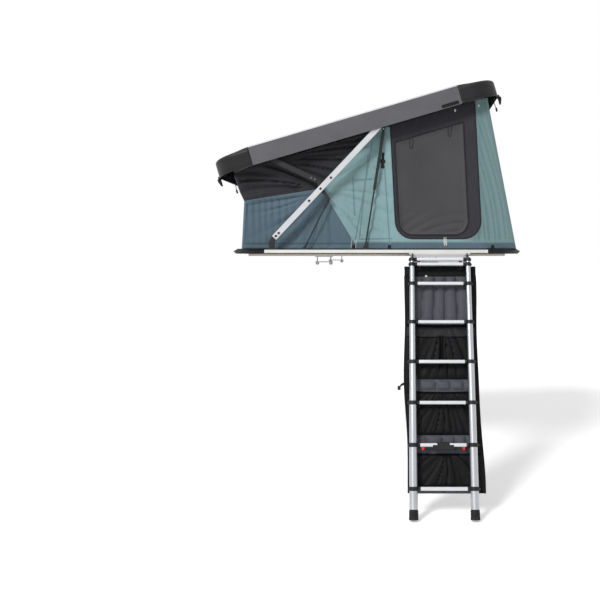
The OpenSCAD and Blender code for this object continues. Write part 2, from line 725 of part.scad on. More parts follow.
short_z = lid_pin_shut[1];
short_end = mid_shut[0] - 52;
short_bolt_x = [short_end - 44, short_end - 16];
module short_arms() {
    x0 = lid_pin_shut[0];
    color([0.2, 0.2, 0.21]) on_short_arm() both_sides() difference() {
        union() {
            translate([(x0 + short_end) / 2, -(short_y0 + short_y1) / 2, short_z])
                hollow_bar(short_end - x0, short_t, short_w, arm_wall);
            side_plate(short_y0, short_y1) intersection() {
                polygon(stadium([x0, short_z], [x0 + 2, short_z], short_w / 2));
                translate([x0 - short_w, short_z - short_w]) square([short_w + 20, 2 * short_w]);
            }
        }
        side_pin([x0, short_z], pin_d + 2 * pin_fit, short_y0 - 1, short_y1 + 1);
        for (x = short_bolt_x) side_pin([x, short_z], arm_bolt_d + 2 * pin_fit, short_y0 - 1, short_y1 + 1);
    }
}
module short_arm_cranks() {
    fit = arm_wall + part_gap;
    crank_w = 30;
    knee = [short_end + crank_w / 2 + 3, short_z - 2];
    tip_r = crank_drop - 30;
    color([0.16, 0.16, 0.17]) on_short_arm() both_sides() difference() {
        union() {
            side_plate(short_y0, short_y1) {
                link([knee, mid_shut], crank_w);
                polygon(concat(arc(crank_shut, tip_r, -70, 65, 8), arc(mid_shut, crank_w / 2, 65, 245, 12)));
            }
            translate([short_end - 58, -short_y1 + fit, short_z - short_w / 2 + fit])
                cube([74, short_t - 2 * fit, short_w - 2 * fit - 6]);
        }
        side_pin(mid_shut, mid_pin_d + 2 * pin_fit, short_y0 - 1, short_y1 + 1);
        for (x = short_bolt_x) side_pin([x, short_z], arm_bolt_d + 2 * pin_fit, short_y0 - 1, short_y1 + 1);
    }
}
module short_arm_bolts() {
    color("gray") on_short_arm() both_sides()
        for (x = short_bolt_x) side_pin([x, short_z], arm_bolt_d, short_y0 - 1, short_y1 + 1);
}

// Control rods and gas struts

module rod_along(p, deg, d, x0, x1, y) {
    translate([p[0], -y, p[1]]) rotate([0, -deg, 0]) translate([x0, 0, 0]) rotate([0, 90, 0])
        cylinder(d = d, h = x1 - x0);
}
module control_rods() {
    y = (rod_y0 + rod_y1) / 2;
    color([0.2, 0.2, 0.21]) both_sides() difference() {
        union() {
            rod_along(rod_foot_p, rod_open_deg, rod_d, 4, rod_l - 4, y);
            rod_along(rod_foot_p, rod_open_deg, rod_d + 2, rod_l - 74, rod_l - 4, y);
            side_pin(rod_foot_p, 2 * eye_r, rod_y0, rod_y1);
            side_pin(crank_open, 2 * eye_r, rod_y0, rod_y1);
            side_pin(crank_open, pin_d - 2, rod_y0, short_y0 - part_gap);
        }
        side_pin(rod_foot_p, pin_d - 2 + 2 * pin_fit, rod_y0 - 1, rod_y1 + 1);
    }
}
strut_bore = strut_rod_d + 2 * pin_fit;
module strut_tubes() {
    tube_x0 = strut_open_l - strut_tube_l;
    tube_x1 = strut_open_l - eye_r - 4;
    end_t = 6;
    color([0.14, 0.14, 0.15]) both_sides() difference() {
        union() {
            rod_along(strut_p, strut_open_deg, strut_d, tube_x0, tube_x1, strut_yc);
            rod_along(strut_p, strut_open_deg, strut_rod_d, tube_x1 - 1, strut_open_l - 2, strut_yc);
            side_pin(strut_top_open, 2 * eye_r, strut_yc - eye_t / 2, strut_yc + eye_t / 2);
        }
        rod_along(strut_p, strut_open_deg, strut_bore, tube_x0 - 1, tube_x1 - end_t, strut_yc);
        side_pin(strut_top_open, pin_d - 2 + 2 * pin_fit, strut_y0 - 1, strut_y1 + 1);
    }
}
module strut_rods() {
    color("silver") both_sides() difference() {
        union() {
            rod_along(strut_p, strut_open_deg, strut_rod_d, 3, strut_open_l - strut_tube_l + 50, strut_yc);
            side_pin(strut_p, 2 * eye_r, strut_yc - eye_t / 2, strut_yc + eye_t / 2);
        }
        side_pin(strut_p, pin_d - 2 + 2 * pin_fit, strut_y0 - 1, strut_y1 + 1);
    }
}

// Canopy

black_outline = [front_waist, front_brow, front_top, seam_lid, seam_meet];
slate_outline = [front_foot, rear_foot, rear_band, seam_foot, seam_meet, front_waist];
teal_outline = [seam_foot, rear_band, rear_top, seam_lid, seam_meet];
door_x1 = door_x + door_w;
function lid_edge_z(x, n) =
    let (p = lid_point(0, n)) p[1] + (x - p[0]) * tan(lid_deg);
// Where a door side that starts at p meets a line n above the lid's lower edge
function door_top(p, n) =
    let (s = tan(door_lean), z = (lid_edge_z(p[0] + p[1] * s, n)) / (1 + s * tan(lid_deg)))
    [p[0] - (z - p[1]) * s, z];
// Door outline drawn in by side, rear and top borders
function door_outline(b, rear, top) =
    let (left = arc([door_x + door_r, door_z + door_r], door_r - b, 180 + door_lean, 270, 8),
         right = arc([door_x1 - door_r + b - rear, door_z + door_r], door_r - b, 270, 360 + door_lean, 8))
    concat([door_top(left[0], tuck - top)], left, right, [door_top(right[8], tuck - top)]);
mesh_outline = door_outline(door_border, door_border_rear, door_border_top);
module side_cloth(outline) {
    both_sides() side_plate(wall_y0, wall_y1) polygon(outline);
}
module end_cloth(points) {
    side_plate(-wall_y1, wall_y1) polygon(points);
}
module canopy_front() {
    t = [cloth_t, 0];
    color([0.1, 0.1, 0.11]) {
        side_cloth(black_outline);
        end_cloth([front_waist, front_brow, front_top, front_top + t, front_brow + t, front_waist + t]);
    }
}
module canopy_lower() {
    t = [cloth_t, 0];
    color([0.34, 0.43, 0.48]) {
        side_cloth(slate_outline);
        end_cloth([front_foot, front_foot + t, front_waist + t, front_waist]);
        end_cloth([rear_foot - t, rear_foot, rear_band, rear_band - t]);
    }
}
module canopy_rear() {
    t = [cloth_t, 0];
    color([0.5, 0.64, 0.64]) {
        both_sides() side_plate(wall_y0, wall_y1) difference() {
            polygon(teal_outline);
            polygon(door_outline(0, 0, -tuck));
        }
        end_cloth([rear_band - t, rear_band, rear_top, rear_top - t]);
    }
}
module door_surrounds() {
    color([0.08, 0.08, 0.08]) both_sides() side_plate(wall_y0, wall_y1) difference() {
        polygon(door_outline(0, 0, 0));
        polygon(mesh_outline);
    }
}
module door_screens() {
    color([0.45, 0.46, 0.47]) side_cloth(mesh_outline);
}

// Ladder, drawn upright below its hinge and then leaned out

hinge_pin_d = 10;
lug_t = 6;
fork_w = 10;
fork_in = 9;
module on_ladder() {
    translate([ladder_x, -ladder_y, hinge_z]) rotate([-ladder_lean, 0, 0]) children();
}
module both_stiles() {
    for (s = [-1, 1]) translate([s * stile_span / 2, 0, 0]) children();
}
module cross_pin(d, x0, x1) {
    translate([x0, 0, 0]) rotate([0, 90, 0]) cylinder(d = d, h = x1 - x0);
}
module ladder_bar() {
    bar_t = lug_t;
    lug_gap = 4;
    lug_x = stile_span / 2 + fork_w - fork_in + lug_gap + lug_t / 2;
    bar_hx = lug_x + lug_gap;
    lug_r = hinge_pin_d / 2 + 4;
    bar_z0 = hinge_z - lug_r - lug_t - 1;
    seat_w = rail_w / 2;
    seat_t = 4;
    pin_l = 2 * fork_w;
    color("silver") translate([ladder_x, -base_hy, 0]) {
        translate([-bar_hx, -bar_t, bar_z0]) cube([2 * bar_hx, bar_t, rail_z0 - bar_z0]);
        translate([-bar_hx, 0, rail_z0 - seat_t]) cube([2 * bar_hx, seat_w, seat_t]);
        for (s = [-1, 1]) translate([s * lug_x - lug_t / 2, -ladder_stand, hinge_z]) {
            translate([0, 0, -lug_r]) cube([lug_t, ladder_stand - bar_t, 2 * lug_r - seat_t]);
            cross_pin(2 * lug_r, 0, lug_t);
            cross_pin(hinge_pin_d, s > 0 ? -pin_l : 0, s > 0 ? lug_t : lug_t + pin_l);
        }
    }
}
module tube(r, wall, t0, t1) {
    translate([0, 0, -t1]) difference() {
        cylinder(r = r, h = t1 - t0);
        translate([0, 0, -1]) cylinder(r = r - wall, h = t1 - t0 + 2);
    }
}
collar_cap = 4;
rung_edge = 4;
collar_up = collar_h / 2;
module ladder_tubes(i) {
    last = i == ladder_sections - 1;
    t0 = rung_at[i] - collar_up + collar_cap;
    t1 = last ? foot_end - foot_h / 2 : rung_at[i] + tube_l;
    color("silver") on_ladder() both_stiles() tube(tube_r(i), tube_wall, t0, t1);
}
module collar(i, t) {
    r = tube_r(i);
    inner = i == 0 ? tube_d / 4 : tube_r(i - 1) + part_gap;
    translate([0, 0, -t - collar_up]) difference() {
        cylinder(r = r + collar_out, h = collar_h);
        translate([0, 0, -1]) cylinder(r = r + part_gap / 2, h = collar_h - collar_cap + 1);
        if (i > 0) translate([0, 0, -1]) cylinder(r = inner, h = collar_h + 2);
    }
}
module rung_bar(i, t) {
    hx = stile_span / 2;
    r = rung_h / 2 - rung_edge;
    wall = 2;
    translate([-hx, 0, -t]) difference() {
        rotate([90, 0, 90]) linear_extrude(2 * hx) difference() {
            polygon(rounded(rung_depth / 2, rung_h / 2, r));
            polygon(rounded(rung_depth / 2 - wall, rung_h / 2 - wall, r - wall));
        }
        for (x = [0, 2 * hx]) translate([x, 0, -rung_h])
            cylinder(r = collar_r(i) + part_gap / 3, h = 2 * rung_h);
    }
}
module ladder_fork(s) {
    h = rung_first - collar_up;
    d = hinge_pin_d + 8;
    x = s * (stile_span / 2 + fork_w / 2 - fork_in) - fork_w / 2;
    translate([x, 0, 0]) difference() {
        union() {
            translate([0, -d / 2, -h]) cube([fork_w, d, h]);
            cross_pin(d, 0, fork_w);
        }
        translate([-1, 0, 0]) cross_pin(hinge_pin_d + 2 * pin_fit, 0, fork_w + 2);
    }
}
module ladder_rung(i) {
    last = i == ladder_sections - 1;
    color([0.15, 0.15, 0.16]) on_ladder() {
        both_stiles() collar(i, rung_at[i]);
        if (i == 0) for (s = [-1, 1]) ladder_fork(s);
        if (last) both_stiles() translate([0, 0, -rung_at[i + 1] - collar_up])
            difference() {
                cylinder(r = collar_r(i), h = collar_h);
                translate([0, 0, -1]) cylinder(r = tube_r(i) + part_gap / 2, h = collar_h + 2);
            }
    }
    color("silver") on_ladder() {
        rung_bar(i, rung_at[i]);
        if (last) rung_bar(i, rung_at[i + 1]);
    }
}
module ladder_feet() {
    r = tube_r(ladder_sections - 1) + part_gap / 2;
    color([0.1, 0.1, 0.1]) on_ladder() both_stiles() translate([0, 0, -foot_end]) difference() {
        cylinder(d = foot_d, h = foot_h);
        translate([0, 0, foot_h / 2]) cylinder(r = r, h = foot_h);
    }
}
release_t = rung_at[ladder_sections - 1];
grip_wall = 5;
module grip_block(l, z0, z1, r) {
    translate([-l / 2, 0, (z0 + z1) / 2]) rotate([90, 0, 90]) linear_extrude(l)
        polygon(rounded(rung_depth / 2 + grip_wall, (z1 - z0) / 2, r));
}
module ladder_grip() {
    fit = part_gap / 2;
    z0 = -rung_h / 2 - grip_under;
    z1 = rung_h / 2 + grip_over;
    color([0.1, 0.1, 0.1]) on_ladder() translate([0, 0, -release_t]) difference() {
        union() {
            grip_block(grip_bar_l, z0, 0, grip_wall);
            grip_block(grip_hump_l, z0 / 2, z1, 2 * grip_wall);
        }
        translate([-grip_bar_l, 0, 0]) rotate([90, 0, 90]) linear_extrude(2 * grip_bar_l)
            polygon(rounded(rung_depth / 2 + fit, rung_h / 2 + fit, rung_h / 2 - rung_edge));
    }
}
module release_tab(s) {
    tab_l = 34;
    tab_h = 22;
    x0 = grip_bar_l / 2 + tab_travel + tab_l;
    x1 = x0 + tab_l;
    z1 = -release_t - rung_h / 2 - part_gap;
    color("firebrick") on_ladder() scale([s, 1, 1]) translate([0, rung_depth / 4, 0]) rotate([90, 0, 0])
        linear_extrude(rung_depth / 2)
            polygon([[x0, z1], [x1, z1], [x1, z1 - tab_h / 3], [x0 + tab_l / 3, z1 - tab_h]]);
}
module organizer() {
    pocket_share = [[0.27, 0.52], [0.57, 0.76], [0.835, 0.975]];
    pocket_inset = 12;
    strap_w = 24;
    strap_x = 150;
    panel_y = org_y + pocket_d;
    strap_y0 = rung_depth / 2 + part_gap;
    color([0.09, 0.09, 0.1]) on_ladder() {
        translate([-org_w / 2, panel_y, -org_top - org_l]) cube([org_w, org_t, org_l]);
        for (share = pocket_share) {
            h = org_l * (share[1] - share[0]);
            d = pocket_d;
            translate([pocket_inset - org_w / 2, panel_y, -org_top - org_l * share[1]])
                rotate([90, 0, 90]) linear_extrude(org_w - 2 * pocket_inset)
                    polygon([[0, h], [-d / 2, h], [-d, 2 * h / 3], [-d, d], [-d / 2, 0], [0, 0]]);
        }
        for (s = [-1, 1]) translate([s * strap_x - strap_w / 2, 0, -rung_first - org_t / 2]) {
            translate([0, strap_y0, 0]) cube([strap_w, panel_y + org_t - strap_y0, org_t]);
            translate([0, panel_y, rung_first - org_top])
                cube([strap_w, org_t, org_top - rung_first + org_t]);
        }
    }
}

floor_panel();
side_rails();
end_rails();
corner_caps();
mount_tracks();
clamp_saddles();
clamp_plates();
clamp_bolts();
mattress();
pivot_brackets();
ladder_bar();
canopy_front();
canopy_lower();
canopy_rear();
door_surrounds();
door_screens();
lid_roof();
lid_sides();
lid_front_cap();
lid_rear_cap();
lid_trims();
lid_liner();
guide_channels();
lid_pivot_blocks();
lid_grips();
latch_plates();
long_arms();
arm_goosenecks();
strut_lugs();
arm_pins();
slider_rollers();
short_arms();
short_arm_cranks();
short_arm_bolts();
control_rods();
strut_tubes();
strut_rods();
latch_lever(-1, -1);  // latch_front_near
latch_lever(-1, 1);  // latch_front_far
latch_lever(1, -1);  // latch_rear_near
latch_lever(1, 1);  // latch_rear_far
for (i = [0 : ladder_sections - 1]) {
    ladder_tubes(i);
    ladder_rung(i);
}
ladder_feet();
ladder_grip();
release_tab(-1);  // release_tab_left
release_tab(1);  // release_tab_right
organizer();
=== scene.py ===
import json
import math
import random

import bmesh
import bpy
import numpy as np
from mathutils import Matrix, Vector
from mathutils.geometry import delaunay_2d_cdt


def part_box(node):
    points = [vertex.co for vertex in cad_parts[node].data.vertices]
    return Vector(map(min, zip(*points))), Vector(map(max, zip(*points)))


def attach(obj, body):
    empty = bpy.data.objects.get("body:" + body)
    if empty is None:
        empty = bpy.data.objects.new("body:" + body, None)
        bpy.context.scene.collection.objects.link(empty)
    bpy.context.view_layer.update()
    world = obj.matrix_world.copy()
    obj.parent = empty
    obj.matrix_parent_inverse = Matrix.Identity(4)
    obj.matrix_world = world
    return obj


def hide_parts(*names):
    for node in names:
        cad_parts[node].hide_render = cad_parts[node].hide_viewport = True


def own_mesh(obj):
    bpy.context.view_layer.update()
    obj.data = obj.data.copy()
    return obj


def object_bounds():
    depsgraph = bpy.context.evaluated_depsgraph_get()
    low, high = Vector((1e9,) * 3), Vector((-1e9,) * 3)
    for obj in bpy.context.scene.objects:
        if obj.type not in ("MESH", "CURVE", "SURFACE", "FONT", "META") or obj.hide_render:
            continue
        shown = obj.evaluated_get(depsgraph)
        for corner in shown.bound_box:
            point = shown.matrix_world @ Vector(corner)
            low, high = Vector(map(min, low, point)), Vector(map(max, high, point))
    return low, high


# Roof top tent, open, with its ladder out: metres, Z up, the side that the photo shows at -Y
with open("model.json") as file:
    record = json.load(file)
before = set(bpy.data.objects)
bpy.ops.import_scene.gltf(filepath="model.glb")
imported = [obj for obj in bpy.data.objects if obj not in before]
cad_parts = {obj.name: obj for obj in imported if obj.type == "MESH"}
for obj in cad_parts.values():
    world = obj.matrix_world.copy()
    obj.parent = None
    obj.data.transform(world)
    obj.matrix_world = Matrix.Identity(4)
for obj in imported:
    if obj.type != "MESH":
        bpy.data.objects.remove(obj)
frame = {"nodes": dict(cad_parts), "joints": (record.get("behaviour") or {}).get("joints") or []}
cad_lo, cad_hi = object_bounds()
nodes = frame["nodes"]
joints = {joint["name"]: joint for joint in frame["joints"]}
scene = bpy.context.scene
scene.view_settings.view_transform = "Standard"

# Camera, placed as the photograph was taken
camera_data = bpy.data.cameras.new("camera")
camera = bpy.data.objects.new("camera", camera_data)
scene.collection.objects.link(camera)
camera.location = (0.150, -5.88, 0.037)
camera.rotation_euler = (math.radians(90), 0, 0)
camera_data.lens = 43.3
camera_data.sensor_width = 36
camera_data.shift_x = -0.1617
camera_data.shift_y = -0.0817
scene.camera = camera


# Materials

def srgb(red, green, blue):
    """Linear colour of an 8-bit colour as it looks on a screen."""
    def linear(c):
        c /= 255
        return c / 12.92 if c <= 0.04045 else ((c + 0.055) / 1.055) ** 2.4
    return (linear(red), linear(green), linear(blue), 1)


def shade(colour, factor):
    return tuple(min(1, c * factor) for c in colour[:3]) + (1,)


class Tree:
    """A node tree and the small steps that build it."""

    def __init__(self, tree):
        self.tree = tree

    def add(self, kind, **inputs):
        node = self.tree.nodes.new(kind)
        for key, value in inputs.items():
            self.feed(node.inputs[key.replace("_", " ")], value)
        return node

    def feed(self, socket, value):
        if isinstance(value, bpy.types.NodeSocket):
            self.tree.links.new(value, socket)
        else:
            socket.default_value = value

    def math(self, operation, a, b=0.0):
        node = self.tree.nodes.new("ShaderNodeMath")
        node.operation = operation
        self.feed(node.inputs[0], a)
        self.feed(node.inputs[1], b)
        return node.outputs[0]

    def seen(self):
        """1 for rays that end in the picture, straight or by way of metal and glass, and 0 for light."""
        rays = self.add("ShaderNodeLightPath").outputs
        sent_on = self.math("MAXIMUM", rays["Is Glossy Ray"], rays["Is Transmission Ray"])
        return self.math("MAXIMUM", rays["Is Camera Ray"], sent_on)


class Paint(Tree):
    """One material, with its place on the object and its bumps, each on top of the last."""

    def __init__(self, name, roughness=0.5, metallic=0.0, specular=0.5):
        self.mat = bpy.data.materials.new(name)
        self.mat.use_nodes = True
        super().__init__(self.mat.node_tree)
        self.shader = self.tree.nodes["Principled BSDF"]
        self.shader.inputs["Roughness"].default_value = roughness
        self.shader.inputs["Metallic"].default_value = metallic
        self.shader.inputs["Specular IOR Level"].default_value = specular
        self.place = self.add("ShaderNodeTexCoord").outputs["Object"]
        self.height = None

    def axes(self):
        return self.add("ShaderNodeSeparateXYZ", Vector=self.place).outputs

    def threads(self, axes, pitch):
        """Waves along the cloth and up it, one to a thread."""
        turns = 2 * math.pi / pitch
        along = self.math("ADD", axes[0], axes[1])
        return [self.math("SINE", self.math("MULTIPLY", way, turns)) for way in (along, axes[2])]

    def stretched(self, sx, sy, sz):
        return self.add("ShaderNodeMapping", Vector=self.place, Scale=(sx, sy, sz)).outputs[0]

    def noise(self, scale, detail=3.0, place=None, roughness=0.55):
        return self.add("ShaderNodeTexNoise", Vector=place or self.place, Scale=scale, Detail=detail,
                        Roughness=roughness).outputs["Fac"]

    def ramp(self, fac, low, high, start=0.3, stop=0.7):
        node = self.add("ShaderNodeValToRGB", Fac=fac)
        for element, at, colour in zip(node.color_ramp.elements, (start, stop), (low, high)):
            element.position, element.color = at, colour
        return node.outputs["Color"]

    def mix(self, fac, a, b):
        node = self.tree.nodes.new("ShaderNodeMix")
        node.data_type = "RGBA"
        self.feed(node.inputs[0], fac)
        self.feed(node.inputs[6], a)
        self.feed(node.inputs[7], b)
        return node.outputs[2]

    def span(self, fac, low, high):
        return self.add("ShaderNodeMapRange", Value=fac, From_Min=0.3, From_Max=0.7, To_Min=low,
                        To_Max=high).outputs[0]

    def colour(self, value):
        self.feed(self.shader.inputs["Base Color"], value)

    def rough(self, value):
        self.feed(self.shader.inputs["Roughness"], value)

    def worn(self, fac, roughness):
        """Roughness that wanders about a value."""
        self.rough(self.span(fac, roughness - 0.06, roughness + 0.08))

    def bump(self, height, strength, distance):
        node = self.add("ShaderNodeBump", Height=height, Strength=strength, Distance=distance)
        if self.height is not None:
            self.feed(node.inputs["Normal"], self.height)
        self.height = node.outputs[0]
        self.feed(self.shader.inputs["Normal"], self.height)


def metal(name, colour, roughness, grain=(2, 90, 90), metallic=1.0):
    """Anodised metal with faint extrusion lines, whose grain runs along the axis of the lowest scale."""
    paint = Paint(name, roughness, metallic)
    lines = paint.noise(9, 4, paint.stretched(*grain))
    cloud = paint.noise(6, 3)
    paint.colour(paint.ramp(cloud, shade(colour, 0.93), shade(colour, 1.04)))
    paint.worn(lines, roughness)
    paint.bump(lines, 0.12, 0.0006)
    return paint.mat


def coated(name, colour, roughness=0.48, grain=900, depth=0.25, gloss=0.4):
    """Powder coat or moulded plastic: a fine pebble, faint clouding and slightly uneven gloss."""
    paint = Paint(name, roughness, 0.0, gloss)
    pebble = paint.noise(grain, 2)
    cloud = paint.noise(5, 4)
    dust = paint.noise(38, 5)
    tone = paint.ramp(cloud, shade(colour, 0.88), shade(colour, 1.1))
    paint.colour(paint.mix(paint.span(dust, 0.0, 0.12), tone, shade(colour, 1.5)))
    paint.worn(cloud, roughness)
    paint.bump(pebble, depth, 0.0008)
    return paint.mat


def cloth(name, colour, thread=0.0022, crease=0.35, fade=0.12, sheen=0.25, painted_shade=None, rough=0.82,
          gloss=0.25):
    """Canvas: a plain weave, soft creases and uneven dye, with painted shade that may darken it from one X
    to another.
    """
    paint = Paint(name, rough, 0.0, gloss)
    paint.shader.inputs["Sheen Weight"].default_value = sheen
    paint.shader.inputs["Sheen Roughness"].default_value = 0.45
    axes = paint.axes()
    weave = paint.math("MULTIPLY", *paint.threads(axes, thread))
    cloud = paint.noise(2.2, 5)
    slub = paint.noise(60, 4, paint.stretched(1, 1, 0.15))
    wrinkles = paint.noise(16, 6, None, 0.6)
    tone = paint.ramp(cloud, shade(colour, 1 - fade), shade(colour, 1 + fade))
    # Painted shade: the colour darkens from one X to another.
    if painted_shade:
        start, stop, factor = painted_shade
        part = paint.math("DIVIDE", paint.math("SUBTRACT", axes[0], start), stop - start)
        limit = paint.math("MINIMUM", paint.math("MAXIMUM", part, 0.0), 1.0)
        tone = paint.mix(limit, tone, shade(colour, factor))
    paint.colour(paint.mix(paint.span(slub, 0.0, 0.22), tone, shade(colour, 0.78)))
    paint.worn(slub, rough)
    paint.bump(wrinkles, crease, 0.012)
    paint.bump(weave, 0.25, 0.0006)
    return paint.mat


def netting(name, thread_colour, shaded_inside_colour, pitch=0.0034):
    """Insect mesh: a fine square net, its holes painted with the dark of the shaded inside."""
    paint = Paint(name, 0.7, 0.0, 0.3)
    net = paint.math("MAXIMUM", *paint.threads(paint.axes(), pitch))
    cloud = paint.noise(3, 4)
    threads = paint.ramp(cloud, shade(thread_colour, 0.85), shade(thread_colour, 1.12))
    # The holes show painted shade of the tent's inside.
    paint.colour(paint.mix(paint.span(net, 0.0, 1.0), shaded_inside_colour, threads))
    paint.bump(net, 0.3, 0.0008)
    return paint.mat


def rubber(name, colour):
    paint = Paint(name, 0.75, 0.0, 0.3)
    scuff = paint.noise(28, 5)
    paint.colour(paint.ramp(scuff, shade(colour, 0.8), shade(colour, 1.5), 0.35, 0.8))
    paint.rough(paint.span(scuff, 0.66, 0.86))
    paint.bump(paint.noise(500, 2), 0.2, 0.0006)
    return paint.mat


RAIL = metal("rail_aluminium", srgb(208, 208, 205), 0.42, (1, 60, 60), 0.8)
TRACK = metal("track_aluminium", srgb(196, 188, 172), 0.5, (1, 60, 60), 0.7)
ARM = metal("arm_aluminium", srgb(198, 199, 202), 0.36, (30, 60, 30), 0.9)
TUBE = metal("tube_aluminium", srgb(178, 180, 184), 0.34, (60, 60, 3), 1.0)
RUNG = metal("rung_aluminium", srgb(202, 204, 207), 0.36, (2, 60, 60), 0.9)
BAR = metal("ladder_bar_aluminium", srgb(184, 185, 186), 0.4, (2, 60, 60), 0.95)
TRIM = metal("trim_aluminium", srgb(205, 206, 208), 0.38, (2, 60, 60), 0.9)
STEEL = metal("pin_steel", srgb(150, 151, 154), 0.34, (40, 40, 40), 1.0)
ZINC = metal("clamp_zinc", srgb(158, 160, 162), 0.45, (30, 30, 30), 0.9)
STRUT_ROD = metal("strut_rod_dark_steel", srgb(52, 50, 50), 0.25, (40, 40, 4), 0.9)
STRUT_PAINT = coated("strut_black_paint", srgb(26, 26, 28), 0.22, 500, 0.04)
DARK = coated("linkage_powder_coat", srgb(38, 38, 40), 0.5, gloss=0.25)
CAP = coated("cap_black_plastic", srgb(18, 18, 20), 0.5, gloss=0.18)
LID_SIDE = coated("lid_side_grey", srgb(80, 79, 83), 0.46, 1400, 0.18)
LID_CAP = coated("lid_cap_charcoal", srgb(27, 27, 29), 0.5, 700, 0.35, gloss=0.22)
LID_ROOF = coated("lid_roof_composite", srgb(120, 121, 124), 0.55, 300, 0.5)
LATCH = coated("latch_black_plastic", srgb(18, 18, 20), 0.42, gloss=0.2)
COLLAR = coated("collar_black_plastic", srgb(24, 24, 26), 0.45, gloss=0.25)
ROLLER = coated("roller_acetal", srgb(208, 207, 202), 0.4)
FLOOR_BOARD = coated("floor_board_coating", srgb(58, 58, 60), 0.6, 240, 0.5)
RED = coated("tab_red_plastic", srgb(196, 30, 34), 0.35)
RUBBER = rubber("foot_rubber", srgb(26, 26, 27))
# The teal darkens towards the rear with painted shade.
TEAL = cloth("canvas_teal", srgb(122, 151, 154), painted_shade=(0.60, 0.72, 0.68))
SLATE = cloth("canvas_slate", srgb(78, 97, 108))
BLACK = cloth("canvas_black", srgb(32, 32, 37), sheen=0.1, rough=0.62, gloss=0.2)
BORDER = cloth("canvas_door_border", srgb(46, 45, 51), crease=0.15, sheen=0.1)
# The mesh's holes are painted dark: painted shade of the tent's inside.
NET = netting("insect_mesh", srgb(74, 74, 76), srgb(36, 36, 38))
SEAM_TEAL = cloth("seam_tape_teal", srgb(100, 127, 131), crease=0.05)
SEAM_SLATE = cloth("seam_tape_slate", srgb(64, 81, 92), crease=0.05)
WEBBING = cloth("webbing_black", srgb(24, 24, 27), thread=0.004, crease=0.02, sheen=0.1)
BAG = cloth("organizer_black", srgb(14, 14, 16), thread=0.0016, sheen=0.0, rough=0.5, gloss=0.1)
FLAP = cloth("organizer_flap", srgb(34, 34, 37), thread=0.0016, sheen=0.02, rough=0.6, gloss=0.15)
STRAP = cloth("organizer_strap", srgb(9, 9, 10), thread=0.003, crease=0.02, sheen=0.0, gloss=0.06)
LINING = cloth("organizer_grey", srgb(72, 73, 80), thread=0.0016, sheen=0.05, rough=0.6, gloss=0.2)
TICKING = cloth("mattress_cover", srgb(120, 126, 132))
QUILT = cloth("liner_quilt", srgb(178, 180, 180))
BINDING = cloth("binding_black", srgb(30, 30, 34), thread=0.003, crease=0.03, sheen=0.1)
CORD = cloth("cord_pale", srgb(206, 206, 200), thread=0.003, crease=0.02, sheen=0.1)
BOLT = coated("bolt_black_oxide", srgb(34, 34, 36), 0.35, 900, 0.1)

# What the CAD nodes that stay in view are made of
LATCHES = [f"latch_{end}_{side}" for end in ("front", "rear") for side in ("near", "far")]
FINISHES = {
    RAIL: ["side_rails", "end_rails"], BAR: ["ladder_bar"], TRACK: ["mount_tracks"], ARM: ["long_arms"],
    TRIM: ["lid_trims", "guide_channels"], STEEL: ["arm_pins", "short_arm_bolts"],
    ZINC: ["clamp_saddles", "clamp_plates", "clamp_bolts"],
    STRUT_ROD: ["strut_rods"], STRUT_PAINT: ["strut_tubes"],
    DARK: ["arm_goosenecks", "strut_lugs", "short_arms", "short_arm_cranks", "control_rods",
           "pivot_brackets", "lid_pivot_blocks"],
    CAP: ["corner_caps"], LID_SIDE: ["lid_sides"], LID_ROOF: ["lid_roof"],
    LATCH: ["lid_grips", "latch_plates", *LATCHES],
    ROLLER: ["slider_rollers"], FLOOR_BOARD: ["floor_panel"], RUBBER: ["ladder_grip"],
    TUBE: [f"ladder_tubes_{i}" for i in range(7)],
}
for finish, names in FINISHES.items():
    for name in names:
        mesh_materials = nodes[name].data.materials
        mesh_materials.clear()
        mesh_materials.append(finish)


# Mesh building

SIDES = (-1, 1)
WELD = 2e-5


def circle(sides):
    """Cosine and sine at each corner of a regular outline."""
    turns = [2 * math.pi * k / sides for k in range(sides)]
    return [(math.cos(a), math.sin(a)) for a in turns]


def turned(x, z, degrees):
    turn = math.radians(degrees)
    return x * math.cos(turn) - z * math.sin(turn), x * math.sin(turn) + z * math.cos(turn)


def loft_pair(build, rings):
    """Closed tube through rings of (x, y, z) on the far side, and its mirror image on the near one."""
    for sign in SIDES:
        build.loft([[Vector((x, sign * y, z)) for x, y, z in ring] for ring in rings])


def thicken(piece, label, thickness):
    """Gives an open skin a wall on its inner side."""
    wall = piece.modifiers.new(label, "SOLIDIFY")
    wall.thickness = thickness
    wall.offset = -1


